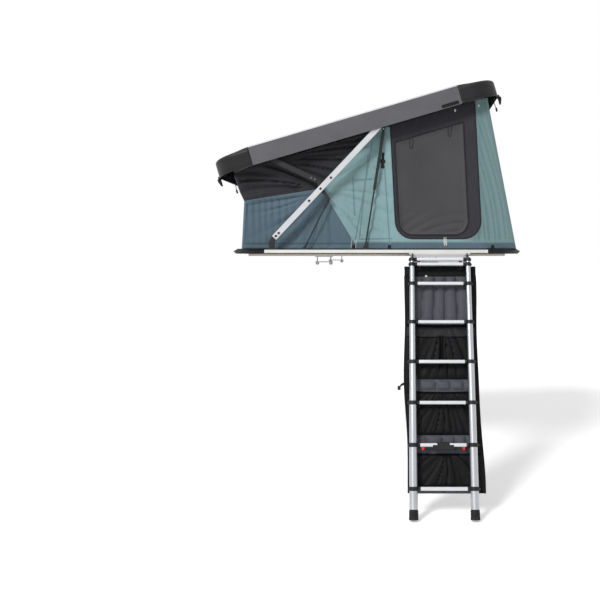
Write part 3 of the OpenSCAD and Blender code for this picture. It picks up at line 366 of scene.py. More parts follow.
class Build:
    """Vertices and faces of one piece, gathered from several forms. A tint is the number of a finish."""

    def __init__(self):
        self.verts = []
        self.faces = []
        self.tints = []

    def face(self, corners, tint=0):
        self.faces.append(tuple(corners))
        self.tints.append(tint)

    def grid(self, rows, tint=0, ring=False):
        """Joins rows of points, each as long as the next, into a surface. A ring closes each row."""
        first, width = len(self.verts), len(rows[0])
        self.verts += [tuple(p) for row in rows for p in row]
        for i in range(len(rows) - 1):
            for j in range(width if ring else width - 1):
                a, b = first + i * width + j, first + i * width + (j + 1) % width
                self.face((a, b, b + width, a + width), tint)
        return first

    def loft(self, rings, tint=0):
        """Closed tube through rings of points, with flat ends."""
        first, width = self.grid(rings, tint, ring=True), len(rings[0])
        last = first + (len(rings) - 1) * width
        self.face(reversed(range(first, first + width)), tint)
        self.face(range(last, last + width), tint)

    def lathe(self, profile, place, sides=32, tint=0):
        """Turns (radius, height) points round an axis. place(x, y, h) gives the point in the frame."""
        self.loft([[place(r * c, r * s, h) for c, s in circle(sides)] for r, h in profile], tint)

    def cord(self, points, radius, sides=8, tint=0):
        """Round cord along points."""
        path = [Vector(p) for p in points]
        side = None
        rings = []
        for i, p in enumerate(path):
            ahead = (path[min(i + 1, len(path) - 1)] - path[max(i - 1, 0)]).normalized()
            if side is None:
                side = ahead.orthogonal().normalized()
            side = (side - ahead * side.dot(ahead)).normalized()
            other = ahead.cross(side)
            rings.append([p + side * (radius * c) + other * (radius * s) for c, s in circle(sides)])
        self.loft(rings, tint)

    def piece(self, name, finishes, body, slot, stands_for=(), sharp=38, weld=False, sheet=False):
        """The piece of these forms, riding on a body. A sheet is open, with its faces turned already."""
        mesh = bpy.data.meshes.new(name)
        mesh.from_pydata(self.verts, [], self.faces)
        for finish in finishes:
            mesh.materials.append(finish)
        mesh.polygons.foreach_set("material_index", self.tints)
        form = bmesh.new()
        form.from_mesh(mesh)
        if weld:
            bmesh.ops.remove_doubles(form, verts=form.verts, dist=WELD)
        if sheet:
            loose = [v for v in form.verts if not v.link_faces]
            bmesh.ops.delete(form, geom=loose, context="VERTS")
        else:
            bmesh.ops.recalc_face_normals(form, faces=form.faces)
        form.to_mesh(mesh)
        form.free()
        mesh.polygons.foreach_set("use_smooth", [True] * len(mesh.polygons))
        mesh.set_sharp_from_angle(angle=math.radians(sharp))
        made = bpy.data.objects.new(name, mesh)
        scene.collection.objects.link(made)
        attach(made, body)
        if stands_for:
            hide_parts(*stands_for)
        return made


def smooth(t):
    t = np.clip(t, 0, 1)
    return t * t * (3 - 2 * t)


def waves(seed, count, low, high):
    """Sum of sines with seeded pitches and phases, from -1 to 1."""
    draw = random.Random(seed)
    parts = [(draw.uniform(low, high), draw.uniform(0, 2 * math.pi), draw.uniform(0.5, 1))
             for _ in range(count)]
    total = sum(part[2] for part in parts)
    return lambda u: sum(weight * np.sin(pitch * u + phase) for pitch, phase, weight in parts) / total


def ridged(values):
    """Soft ridges with sharp creases between them, from 0 at a crease to 1."""
    return 1 - (1 - np.abs(values)) ** 2


def rise(values, start, length):
    """0 up to a start, 1 a length beyond it, and smooth between."""
    return smooth((values - start) / length)


def creases(seed, count, low, high, at, sharp=2.0):
    """Depth of folded cloth, from 0 on a ridge to 1 in a crease."""
    return 1 - ridged(sharp * waves(seed, count, low, high)(at))


# Canopy: one continuous sheet round all four sides, cut into its coloured pieces

CLOTH_STEP, CLOTH_T = 0.009, 0.0016
ROW_STEP = CLOTH_STEP * 0.866
CORNER_R, CORNER_GROWTH = 0.040, 0.080
TAPE_ROOM = 0.0025
FRONT_LIMIT = -1.060
FRONT_ZONE, REAR_ZONE = -0.95, 0.81
CROWDED, ROUND_CHORD = 0.006, 0.04
SAME, TINY = 1e-4, 1e-12
SHORT_ARM_TOP = (-0.745, 0.700)
# Slack of each panel, and how far in from its edge slack and folds reach their depth
BELLY, BELLY_RUN, FOLD_RUN = 0.007, 0.22, 0.034
# End walls: depth of pleats and sag, and how far in from the hems and the corners they begin
END_PLEAT, END_SAG, END_HEM, END_SIDE = 0.011, 0.014, 0.06, 0.07
# Seed of each long side's folds, and the sign of its Y
NEAR, FAR = (11, -1), (61, 1)
WALLS = (NEAR, FAR)
SHELL = ["canopy_front", "canopy_lower", "canopy_rear"]
CLOTHS = {
    "black": ("canopy_front_cloth", BLACK, "black_cloth", "canopy_front"),
    "slate": ("canopy_lower_cloth", SLATE, "slate_cloth", "canopy_lower"),
    "teal": ("canopy_rear_cloth", TEAL, "teal_cloth", "canopy_rear"),
    "door": ("door_surround_cloth", BORDER, "black_cloth", "door_surrounds"),
    "mesh": ("door_mesh_cloth", NET, "mesh_cloth", "door_screens"),
}
solid_out = -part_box("canopy_lower")[0].y
wall_out = solid_out - TAPE_ROOM
cloth_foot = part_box("canopy_lower")[0].z
mid_pivot = np.array(joints["short_link_fold"]["pos_m"])[[0, 2]]


def near_outline(name):
    """Longest closed X-Z outline of a node's faces on the near canopy wall."""
    mesh = nodes[name].data
    mesh.calc_loop_triangles()
    spots = np.array([v.co for v in mesh.vertices])
    keys = [tuple(np.round(p[[0, 2]], 5)) for p in spots]
    uses = {}
    for triangle in mesh.loop_triangles:
        corners = list(triangle.vertices)
        if all(spots[c][1] < SAME - solid_out for c in corners):
            for a, b in zip(corners, corners[1:] + corners[:1]):
                edge = frozenset((keys[a], keys[b]))
                if len(edge) == 2:
                    uses[edge] = uses.get(edge, 0) + 1
    follows = {}
    for edge, count in uses.items():
        if count == 1:
            a, b = edge
            follows.setdefault(a, []).append(b)
            follows.setdefault(b, []).append(a)
    outlines = []
    while follows:
        start = min(follows)
        outline, here = [start], start
        while True:
            ahead = follows.pop(here)
            step = next((p for p in ahead if p in follows), None)
            if step is None:
                break
            outline.append(step)
            here = step
        outlines.append(np.array(outline))
    return max(outlines, key=len)


def inside(outline, points):
    """Which points lie inside a closed outline."""
    x, z = points[:, 0], points[:, 1]
    odd = np.zeros(len(points), bool)
    for (x0, z0), (x1, z1) in zip(outline, np.roll(outline, -1, axis=0)):
        if z0 != z1:
            odd ^= ((z0 > z) != (z1 > z)) & (x < (x1 - x0) * (z - z0) / (z1 - z0) + x0)
    return odd


def edge_distance(outline, points):
    """Distance of each point from a closed outline."""
    best = np.full(len(points), np.inf)
    for p, q in zip(outline, np.roll(outline, -1, axis=0)):
        along = q - p
        t = np.clip(((points - p) @ along) / max(along @ along, TINY), 0, 1)
        best = np.minimum(best, np.linalg.norm(points - p - t[:, None] * along, axis=1))
    return best


def unit(v):
    return v / max(np.linalg.norm(v), TINY)


def tidy(outline):
    """Outline without points that crowd one lying further out."""
    def spare(p):
        return any(np.linalg.norm(p - q) < CROWDED and abs(p[0]) < abs(q[0]) for q in outline)
    return np.array([p for p in outline if not spare(p)])


def dense(outline):
    """Points along an outline at the cloth's step. Short chords of a round stretch become curved."""
    count, spots = len(outline), []
    for i in range(count):
        p0, p1, p2, p3 = (outline[(i + k) % count] for k in (-1, 0, 1, 2))
        chord = np.linalg.norm(p2 - p1)
        parts = max(1, math.ceil(chord / CLOTH_STEP))
        t = np.arange(parts)[:, None] / parts
        if chord > ROUND_CHORD:
            spots.append(p1 + (p2 - p1) * t)
        else:
            m1 = chord * unit(unit(p1 - p0) + unit(p2 - p1))
            m2 = chord * unit(unit(p2 - p1) + unit(p3 - p2))
            spots.append((2 * t**3 - 3 * t**2 + 1) * p1 + (t**3 - 2 * t**2 + t) * m1
                         + (3 * t**2 - 2 * t**3) * p2 + (t**3 - t**2) * m2)
    return np.concatenate(spots)


outlines = {node: tidy(near_outline(node)) for _, _, _, node in CLOTHS.values()}
REGIONS = {name: dense(outlines[node]) for name, (_, _, _, node) in CLOTHS.items()}
corner_points = np.concatenate([outlines[node] for node in SHELL])
front_profile = np.array(sorted({tuple(p) for p in corner_points if p[0] < FRONT_ZONE}, key=lambda p: p[1]))
rear_profile = np.array(sorted({tuple(p) for p in corner_points if p[0] > REAR_ZONE}, key=lambda p: p[1]))
waist = front_profile[1][1]
band_top = rear_profile[1][1]


def front_x(z):
    return np.maximum(np.interp(z, front_profile[:, 1], front_profile[:, 0]), FRONT_LIMIT)


def rear_x(z):
    return np.interp(z, rear_profile[:, 1], rear_profile[:, 0])


def side_depth(points, seed):
    """How far the cloth of a side wall lies in from its flat, at X-Z points."""
    x, z = points[:, 0], points[:, 1]
    depth = np.zeros(len(points))
    off = points - mid_pivot
    reach = np.hypot(off[:, 0], off[:, 1])
    bearing = np.arctan2(off[:, 1], off[:, 0])
    leftward = np.arctan2(off[:, 1], -off[:, 0])
    lid_x, lid_z = x - SHORT_ARM_TOP[0], z - SHORT_ARM_TOP[1]
    lid_reach, lid_turn = np.hypot(lid_x, lid_z), np.arctan2(lid_z, lid_x)
    above_arm = rise(leftward, 0.50, 0.10)
    from_front = x - front_x(z)
    fold = {
        # Fans out from the arms' joint, and under the lid from the short arm's top
        "black": 0.022 * creases(seed, 3, 8, 17, leftward + 0.25 * reach)
        * rise(reach, 0.06, 0.16) * (1 - 0.6 * rise(reach, 0.45, 0.3)) * (1 - above_arm)
        + 0.020 * creases(seed + 1, 3, 13, 24, lid_turn + 0.15 * lid_reach)
        * rise(lid_reach, 0.12, 0.15) * above_arm,
        # Upright pleats at the front, and a fan below the arms' joint
        "slate": 0.012 * creases(seed + 2, 3, 42, 70, from_front + 0.10 * (z - waist))
        * (1 - rise(from_front, 0.2, 0.35)) * (0.3 + 0.7 * rise(z, 0.08, 0.3))
        + 0.012 * creases(seed + 3, 3, 6, 13, bearing + 0.4 * reach)
        * rise(reach, 0.10, 0.15) * (1 - 0.8 * rise(reach, 0.3, 0.3)),
        # A fan from the arms' joint, pleats along the rear corner, and slant folds by the strut
        "teal": 0.013 * creases(seed + 4, 4, 8, 17, bearing + 0.25 * reach)
        * rise(reach, 0.10, 0.15) * (1 - 0.85 * rise(reach, 0.36, 0.4))
        + 0.012 * creases(seed + 5, 3, 32, 58, rear_x(z) - x + 0.03 * np.sin(4 * z)) * rise(x, 0.68, 0.06)
        + 0.008 * creases(seed + 6, 3, 18, 30, z + 0.45 * x, 1.8) * (1 - rise(x, 0.02, 0.1)),
        "door": 0.004 * creases(seed + 7, 3, 18, 36, x + 0.1 * z, 1.8),
        # Swags at the foot of the mesh
        "mesh": 0.004 + 0.009 * creases(seed + 8, 2, 40, 62, z + 0.9 * (x - 0.43) ** 2 - 0.35 * x)
        * (1 - rise(z, 0.17, 0.25)) + 0.003 * (0.5 + 0.5 * waves(seed + 9, 3, 20, 40)(x - 0.4 * z)),
    }
    for name, line in REGIONS.items():
        held = inside(line, points)
        edge = edge_distance(line, points[held])
        belly = BELLY * smooth(edge / BELLY_RUN) if name != "door" else 0
        depth[held] = fold[name][held] * smooth(edge / FOLD_RUN) + belly
    return depth


def end_depth(y, z, seed, top):
    """How far the cloth of an end wall lies in, y across and z up."""
    pleats = 0.5 + 0.5 * waves(seed, 4, 60, 110)(y + 0.05 * np.sin(5 * z))
    near_corner = rise(np.abs(y), 0.18, 0.3)
    sag = END_SAG * smooth((wall_out - np.abs(y)) / 0.4)
    hem = rise(z, cloth_foot, END_HEM) * smooth((top - z) / END_HEM)
    side = smooth((wall_out - CORNER_R - np.abs(y)) / END_SIDE)
    return (END_PLEAT * pleats * (0.35 + 0.65 * near_corner) * side + sag * side) * hem


def cloth_wall():
    """Flat triangles of a side wall in X and Z, with the number of each one's region."""
    lines = list(REGIONS.values())
    spots, edges = [], []
    for line in lines:
        first = len(spots)
        spots += [Vector(p) for p in line]
        edges += [(first + i, first + (i + 1) % len(line)) for i in range(len(line))]
    fixed = np.concatenate(lines)
    columns = np.arange(fixed[:, 0].min(), fixed[:, 0].max(), CLOTH_STEP)
    rows = np.arange(fixed[:, 1].min(), fixed[:, 1].max(), ROW_STEP)
    field = np.array([(x + CLOTH_STEP * (k % 2) / 2, z) for k, z in enumerate(rows) for x in columns])
    clear = np.min([edge_distance(line, field) for line in lines], axis=0)
    within = np.any([inside(line, field) for line in lines], axis=0)
    spots += [Vector(p) for p in field[within & (clear > CLOTH_STEP / 2)]]
    flat, _, triangles, *_ = delaunay_2d_cdt(spots, edges, [], 0, SAME)
    flat = np.array([tuple(p) for p in flat])
    triangles = np.array([t for t in triangles if len(t) == 3])
    middle = flat[triangles].mean(axis=1)
    region = np.full(len(triangles), -1)
    for number, line in enumerate(lines):
        region[inside(line, middle)] = number
    return flat, triangles[region >= 0], region[region >= 0]


def front_corner(z):
    """Radius of the front corners, which grows under the lid so that they fit into its rounded cap."""
    return CORNER_R + CORNER_GROWTH * rise(z, 0.45, 0.15)


def round_corner(gap, radius):
    """Where cloth at a distance from a rounded corner lies: in from the side and in from the end."""
    turn = np.radians(45) * (1 - np.clip(gap / radius, 0, 1))
    return radius * (1 - np.cos(turn)), np.where(gap < radius, radius * (1 - np.sin(turn)), gap)


def side_surface(flat, seed, sign):
    """Points of a side wall in the frame. The sign is -1 on the near side."""
    x, z = flat[:, 0].copy(), flat[:, 1]
    depth = side_depth(flat, seed)
    front, rear = front_x(z), rear_x(z)
    x = np.maximum(x, front)
    front_gap, rear_gap = x - front, rear - x
    inward, along_front = round_corner(front_gap, front_corner(z))
    x = np.where(front_gap < front_corner(z), front + along_front, x)
    inward_rear, along_rear = round_corner(rear_gap, CORNER_R)
    x = np.where(rear_gap < CORNER_R, rear - along_rear, x)
    return np.stack([x, sign * (wall_out - depth - inward - inward_rear), z], axis=1)


def end_surface(levels, edge_x, inward_sign, seed):
    """Rows of points of an end wall at given levels, from the near side to the far one."""
    count = math.ceil(2 * wall_out / CLOTH_STEP)
    across = np.linspace(-wall_out, wall_out, count + 1)
    gap = wall_out - np.abs(across)
    rows = []
    for z in levels:
        radius = front_corner(z) if inward_sign > 0 else CORNER_R
        inward, along_end = round_corner(gap, radius)
        y = np.where(gap < radius, np.sign(across) * (wall_out - along_end), across)
        depth = end_depth(across, np.full(len(across), z), seed, levels[-1])
        x = edge_x(z) + inward_sign * (inward + depth)
        rows.append([(x[i], y[i], z) for i in range(len(y))])
    return rows


def edge_levels(flat, edge_x):
    """Heights of the side wall's points along one corner."""
    on_edge = np.abs(flat[:, 0] - edge_x) < SAME
    return np.array(sorted(set(np.round(flat[on_edge, 1], 6))))


def fold_flat(piece):
    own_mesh(piece)


def outline_area(line):
    x, z = line[:, 0], line[:, 1]
    return abs(np.dot(x, np.roll(z, -1)) - np.dot(z, np.roll(x, -1))) / 2


def make_canopy():
    flat, triangles, region = cloth_wall()
    builds = {name: Build() for name in REGIONS}
    for wall in WALLS:
        surface = side_surface(flat, *wall)
        for number, build in enumerate(builds.values()):
            first = len(build.verts)
            build.verts += [tuple(p) for p in surface]
            for a, b, c in triangles[region == number] + first:
                build.face((a, b, c) if wall is NEAR else (c, b, a))
    raw_front = np.interp(flat[:, 1], front_profile[:, 1], front_profile[:, 0])
    front_levels = edge_levels(flat, raw_front)
    rear_levels = edge_levels(flat, rear_x(flat[:, 1]))
    ends = [("slate", front_levels[front_levels <= waist + SAME], front_x, 1, 31),
            ("black", front_levels[front_levels >= waist - SAME], front_x, 1, 32),
            ("slate", rear_levels[rear_levels <= band_top + SAME], rear_x, -1, 33),
            ("teal", rear_levels[rear_levels >= band_top - SAME], rear_x, -1, 34)]
    end_area = dict.fromkeys(REGIONS, 0.0)
    for name, levels, edge_x, inward_sign, seed in ends:
        rows = end_surface(levels, edge_x, inward_sign, seed)
        builds[name].grid(rows if inward_sign < 0 else [row[::-1] for row in rows])
        end_area[name] += 2 * wall_out * (levels[-1] - levels[0])
    for name, line in REGIONS.items():
        label, finish, slot, node = CLOTHS[name]
        piece = builds[name].piece(label, [finish], "base", slot, [node], sharp=60, weld=True, sheet=True)
        thicken(piece, "cloth", CLOTH_T)
        fold_flat(piece)
        area = 2 * outline_area(line) + end_area[name]
        if name == "door":
            area -= 2 * outline_area(REGIONS["mesh"])


make_canopy()


# Lid end caps: one moulded skin each, on the same values as the solids

LID_DEG = 16.3789
LID_PIN = (-0.743, 0.141)
LID_HX, LID_HY, LID_R = 1.075, 0.708, 0.200
LID_FOOT, LID_TOP = 0.048, 0.190
PANEL_HX = 0.782
CAP_FALL, CAP_EDGE, CAP_ROLL, CAP_SIDE, CAP_WALL = 0.015, 0.024, 0.255, 0.030, 0.004
CAP_LIP = 0.0025
# Height above the cap's foot, and depth
CAP_GROOVE = [(0.018, 0), (0.0195, 0.0015), (0.021, 0)]
lid_pivot = Vector(joints["lid_fold"]["pos_m"])


def on_lid(x, y, z):
    """Point of the closed lid, in the frame with the lid open."""
    dx, dz = turned(x - LID_PIN[0], z - LID_PIN[1], LID_DEG)
    return Vector((lid_pivot.x + dx, y, lid_pivot.z + dz))


def cap_row(z, side, end, sign):
    """Points round the cap's end at one level, drawn in from the side and from the end."""
    radius = min(LID_R - side, LID_HX - end - PANEL_HX - 0.001)
    cx, cy = LID_HX - end - radius, LID_HY - side - radius
    turns = [math.radians(90 * k / 20) for k in range(21)]
    straight = [PANEL_HX + (cx - PANEL_HX) * k / 6 for k in range(6)]
    across = [cy * (1 - k / 10) for k in range(1, 20)]
    half = [(x, cy + radius) for x in straight]
    half += [(cx + radius * math.sin(a), cy + radius * math.cos(a)) for a in turns]
    points = half + [(LID_HX - end, y) for y in across] + [(x, -y) for x, y in reversed(half)]
    return [on_lid(sign * x, y, z) for x, y in points]


def make_cap(name, node, sign):
    build = Build()
    rim = LID_TOP - CAP_FALL
    levels = [(LID_FOOT, CAP_LIP, CAP_LIP), (LID_FOOT + CAP_LIP, 0, 0)]
    levels += [(LID_FOOT + up, depth, depth) for up, depth in CAP_GROOVE]
    levels.append((rim - CAP_EDGE - 0.012, 0, 0))
    for k in range(9):
        a = math.radians(90 * k / 8)
        inset = CAP_EDGE * (1 - math.cos(a))
        levels.append((rim - CAP_EDGE * (1 - math.sin(a)), inset, inset))
    for k in range(1, 13):
        share = k / 12
        levels.append((LID_TOP - CAP_FALL * (1 - share) ** 2, CAP_EDGE + (CAP_SIDE - CAP_EDGE) * share,
                       CAP_EDGE + (CAP_ROLL - CAP_EDGE) * share))
    rows = [cap_row(z, side, end, sign) for z, side, end in levels]
    seam = [on_lid(sign * PANEL_HX, p.y, LID_TOP) for p in rows[-1]]
    build.grid(rows + [seam])
    cap = build.piece(name, [LID_CAP], "lid", "lid_cap", [node], sharp=35)
    thicken(cap, "wall", CAP_WALL)


make_cap("lid_front_cap_skin", "lid_front_cap", -1)
make_cap("lid_rear_cap_skin", "lid_rear_cap", 1)


# Ladder

RUNG_AT = [0.036, 0.072, 0.214, 0.489, 0.764, 1.039, 1.314, 1.589]
STILE_X = 0.1985
TUBE_R, TUBE_STEP = 0.0155, 0.00205
COLLAR_OUT, COLLAR_H, COLLAR_CAP, COLLAR_SOFT = 0.0045, 0.026, 0.004, 0.0014
COLLAR_GAP, NECK_GAP = 0.0002, 0.0004
# Out from a collar: its socket for the rung and how far that draws in, its boss and pin by radius
COLLAR_SOCKET = [(0.006, 0.0), (0.0125, 0.0004), (0.014, 0.0016)]
COLLAR_BOSS = [(0.0085, -0.002), (0.0085, 0.0025), (0.0075, 0.0036), (0.005, 0.0036)]
COLLAR_PIN = [(0.0042, 0.003), (0.0042, 0.0046), (0.003, 0.0054)]
RUNG_H, RUNG_DEPTH, RUNG_ROUND = 0.025, 0.038, 0.0065
FOOT_R, FOOT_H, FOOT_END = 0.0315, 0.065, 1.781
FORK_HALF, FORK_BORE, FORK_W, FORK_INSET, FORK_SOFT = 0.009, 0.00515, 0.010, 0.009, 0.001
# A thumb tab's outline, across and down, and its sections: Y and share of the outline
TAB_OUTLINE = [(0.1445, 0.0), (0.1235, 0.0), (0.1235, 0.006), (0.1285, 0.0155), (0.1325, 0.0195),
               (0.1385, 0.0195), (0.1430, 0.0155), (0.1445, 0.010)]
TAB_MIDDLE, TAB_GAP = (0.134, 0.008), 0.0004
TAB_RINGS = [(-0.0095, 0.86), (-0.0082, 1.0), (-0.003, 1.0), (-0.002, 0.95), (0.002, 0.95), (0.003, 1.0),
             (0.0082, 1.0), (0.0095, 0.86)]
hinge = Vector(joints["ladder_tilt"]["pos_m"])
ladder_up = Vector(joints["ladder_slide_1"]["axis"])
ladder_rear = Vector((0, ladder_up.z, -ladder_up.y))


def on_ladder(x, y, t):
    """Point of the ladder: across, behind its plane and down from the hinge."""
    return hinge + Vector((x, 0, 0)) + ladder_rear * y - ladder_up * t


def tube_r(i):
    return TUBE_R + TUBE_STEP * i


def rounded_box(hw, hh, r, steps=5):
    """Rounded rectangle, anticlockwise from the right."""
    points = []
    for cx, cy, start in ((hw - r, hh - r, 0), (r - hw, hh - r, 90), (r - hw, r - hh, 180),
                          (hw - r, r - hh, 270)):
        turns = [math.radians(start + 90 * k / steps) for k in range(steps + 1)]
        points += [(cx + r * math.cos(a), cy + r * math.sin(a)) for a in turns]
    return points


def tread_outline(grooves=6, depth=0.0013):
    """Section of a rung: rounded, with grooves along its upper face."""
    outline = rounded_box(RUNG_DEPTH / 2, RUNG_H / 2, RUNG_ROUND)
    pitch = (RUNG_DEPTH - 2 * RUNG_ROUND) / grooves
    top = []
    for k in range(grooves):
        middle = RUNG_DEPTH / 2 - RUNG_ROUND - (k + 0.5) * pitch
        for side, down in ((0.36, 0), (0.2, depth), (-0.2, depth), (-0.36, 0)):
            top.append((middle + side * pitch, RUNG_H / 2 - down))
    return outline[:6] + top + outline[6:]


def ring_round(build, loop, place, sides=40, tint=0):
    """Turns a closed (radius, height) loop into a ring."""
    rows = [[place(r * c, r * s, h) for c, s in circle(sides)] for r, h in loop + loop[:1]]
    build.grid(rows, tint, ring=True)


def add_collar(build, i, t, side, closed_top):
    """Collar round a tube, with the socket of its rung and a boss with a pin on the outer side."""
    x0, half, soft = side * STILE_X, COLLAR_H / 2, COLLAR_SOFT
    outer, inner = tube_r(i) + COLLAR_OUT, tube_r(i) + COLLAR_GAP
    outside = [(outer - soft, -half), (outer, soft - half), (outer, -0.004), (outer - 0.0008, -0.003),
               (outer - 0.0008, 0.003), (outer, 0.004), (outer, half - soft), (outer - soft, half)]

    def upright(u, v, h):
        return on_ladder(x0 + u, v, t - h)

    if closed_top:
        build.lathe(outside, upright, 40)
    else:
        neck = tube_r(i - 1) + NECK_GAP
        ring_round(build, outside + [(neck + 0.001, half), (neck, half - 0.001), (neck, half - COLLAR_CAP),
                                     (inner, half - COLLAR_CAP), (inner, -half)], upright)
    socket = rounded_box(RUNG_DEPTH / 2 + 0.0022, RUNG_H / 2 + 0.0006, 0.007)
    reach = [(inner + 0.001, 0.0)] + [(outer + off, draw) for off, draw in COLLAR_SOCKET]
    build.loft([[on_ladder(x0 - side * off, u * (1 - draw / 0.02), t - v * (1 - draw / 0.0125))
                 for u, v in socket] for off, draw in reach])

    def outward(u, v, h):
        return on_ladder(x0 + side * (outer + h), u, t + v)

    build.lathe(COLLAR_BOSS, outward, 24)
    build.lathe(COLLAR_PIN, outward, 20, tint=2)


def add_rung(build, i, t):
    reach = STILE_X - tube_r(i) - COLLAR_OUT - 0.008
    stations = [-reach, -reach + 0.002, *(reach * (k / 6 - 1) for k in range(1, 12)), reach - 0.002, reach]
    build.loft([[on_ladder(x, u, t - v) for u, v in tread_outline()] for x in stations], tint=1)


def add_fork(build, side):
    """Hinge eye above a stile: a plate with a round top and a bore for the hinge pin."""
    drop, w = RUNG_AT[0] - COLLAR_H / 2, FORK_W / 2
    x0 = side * (STILE_X + w - FORK_INSET)
    turns = [2 * math.pi * (k + 0.5) / 48 for k in range(48)]

    def edge(a):
        across, down = abs(math.cos(a)), -math.sin(a)
        return FORK_HALF if down <= 0 else min(FORK_HALF / max(across, 1e-9), drop / down)

    def loop(x, radius, shrink=0.0):
        reach = [(a, radius(a) - shrink) for a in turns]
        return [on_ladder(x0 + x, r * math.cos(a), -r * math.sin(a)) for a, r in reach]

    def bore(a):
        return FORK_BORE

    rows = [loop(-w, edge, FORK_SOFT), loop(FORK_SOFT - w, edge), loop(w - FORK_SOFT, edge),
            loop(w, edge, FORK_SOFT), loop(w, bore), loop(-w, bore), loop(-w, edge, FORK_SOFT)]
    build.grid(rows, 0, ring=True)


def make_rungs():
    for i in range(7):
        build = Build()
        levels = [RUNG_AT[i]] if i < 6 else RUNG_AT[6:]
        for t in levels:
            for side in SIDES:
                add_collar(build, i, t, side, closed_top=(i == 0))
            add_rung(build, i, t)
        if i == 0:
            for side in SIDES:
                add_fork(build, side)
        body = "ladder_head" if i == 0 else f"ladder_section_{i}"
        build.piece(f"ladder_rung_set_{i}", [COLLAR, RUNG, STEEL], body, "rung_metal",
                    [f"ladder_rung_{i}"], weld=True)


def make_feet():
    build = Build()
    socket = tube_r(6) + 0.0003
    loop = [(0.004, 0.0), (FOOT_R - 0.004, 0.0), (FOOT_R, 0.003), (FOOT_R, 0.010)]
    for k in range(5):
        h = 0.012 + 0.0092 * k
        loop += [(FOOT_R - 0.0005, h), (FOOT_R - 0.0005, h + 0.0052), (FOOT_R - 0.0028, h + 0.0062),
                 (FOOT_R - 0.0028, h + 0.0082)]
    loop += [(FOOT_R - 0.003, FOOT_H - 0.003), (FOOT_R - 0.006, FOOT_H), (socket, FOOT_H),
             (socket, FOOT_H / 2), (0.004, FOOT_H / 2)]
    for side in SIDES:
        ring_round(build, loop, lambda u, v, h: on_ladder(side * STILE_X + u, v, FOOT_END - h), 48)
    build.piece("ladder_feet_ribbed", [RUBBER], "ladder_section_6", "foot_rubber", ["ladder_feet"],
                weld=True)


def make_tabs():
    """Small thumb tabs under the release rung."""
    (mid_x, mid_t), level = TAB_MIDDLE, RUNG_AT[6] + RUNG_H / 2 + TAB_GAP
    for side, name in zip(SIDES, ("left", "right")):
        build = Build()
        build.loft([[on_ladder(side * (mid_x + (x - mid_x) * size), y,
                               level + max(0.0, mid_t + (t - mid_t) * size)) for x, t in TAB_OUTLINE]
                    for y, size in TAB_RINGS])
        build.piece(f"release_thumb_{name}", [RED], f"{name}_tab", "tab_plastic", [f"release_tab_{name}"])


make_rungs()
make_feet()
make_tabs()


# Organizer behind the ladder: a hanging panel with three bellows pockets

ORG_Y, ORG_TOP, ORG_L, ORG_HW = 0.0572, 0.074, 1.545, 0.255
ORG_BAND, ORG_FLAP = 0.047, 0.142
POCKETS = [(0.491, 0.877), (0.955, 1.248), (1.364, 1.580)]
LINING_SHOWS = [(0.144, 0.484), (0.884, 0.948), (1.254, 1.358), (1.586, 1.619)]
ORG_FOLD, ORG_HEM, ORG_LIP = 0.021, 0.003, 0.006
POCKET_HW, POCKET_D, POCKET_GAP = 0.243, 0.0195, 0.0032
POCKET_FOLD, POCKET_SLACK = 0.011, 0.003
SEWN = 0.0004
# Bands on a pocket: from one share of its height to another, across, lift and tint
MOUTH_BAND = [(0.0, 0.055, -0.97, 0.97, 0.0015, 1)]
FLAP_BANDS = [(0.0, 0.245, -0.985, 0.985, 0.0026, 2), (0.0, 0.05, -0.985, 0.985, 0.0040, 1),
              (0.225, 0.245, -0.985, 0.985, 0.0036, 1), (0.20, 0.78, -0.055, 0.055, 0.0046, 1)]
# Webbing over the first rung: behind the ladder's plane and down, and a loose side strap: X, behind, down
WEB_PATH = [(0.0225, 0.036), (0.031, 0.0335), (0.043, 0.034), (0.0535, 0.043), (0.0553, 0.060),
            (0.0553, 0.120)]
WEB_AT, WEB_HALF, WEB_LIFT = (-0.150, 0.150), 0.012, 0.0011
SIDE_STRAP = [(-0.250, 0.048, 0.905), (-0.262, 0.044, 0.909), (-0.276, 0.042, 0.917),
              (-0.287, 0.043, 0.930)]
SIDE_STRAP_HALF, SIDE_STRAP_T = 0.009, 0.002


def org_shift(t):
    """How far the hanging panel swings aside at a distance down from the hinge."""
    return 0.022 * rise(t, 0.9, 0.75) + 0.003 * np.sin(6 * t)


def add_slab(build, top, bottom, tint=0):
    """Closed slab between two grids of points of the same size."""
    first = build.grid(top, tint)
    width, count = len(top[0]), len(top)
    second = build.grid([row[::-1] for row in bottom], tint)

    def under(i, j):
        return second + i * width + (width - 1 - j)

    def over(i, j):
        return first + i * width + j

    rim = [(0, j) for j in range(width)] + [(i, width - 1) for i in range(1, count)]
    rim += [(count - 1, j) for j in range(width - 2, -1, -1)] + [(i, 0) for i in range(count - 2, 0, -1)]
    for a, b in zip(rim, rim[1:] + rim[:1]):
        build.face((over(*b), over(*a), under(*a), under(*b)), tint)


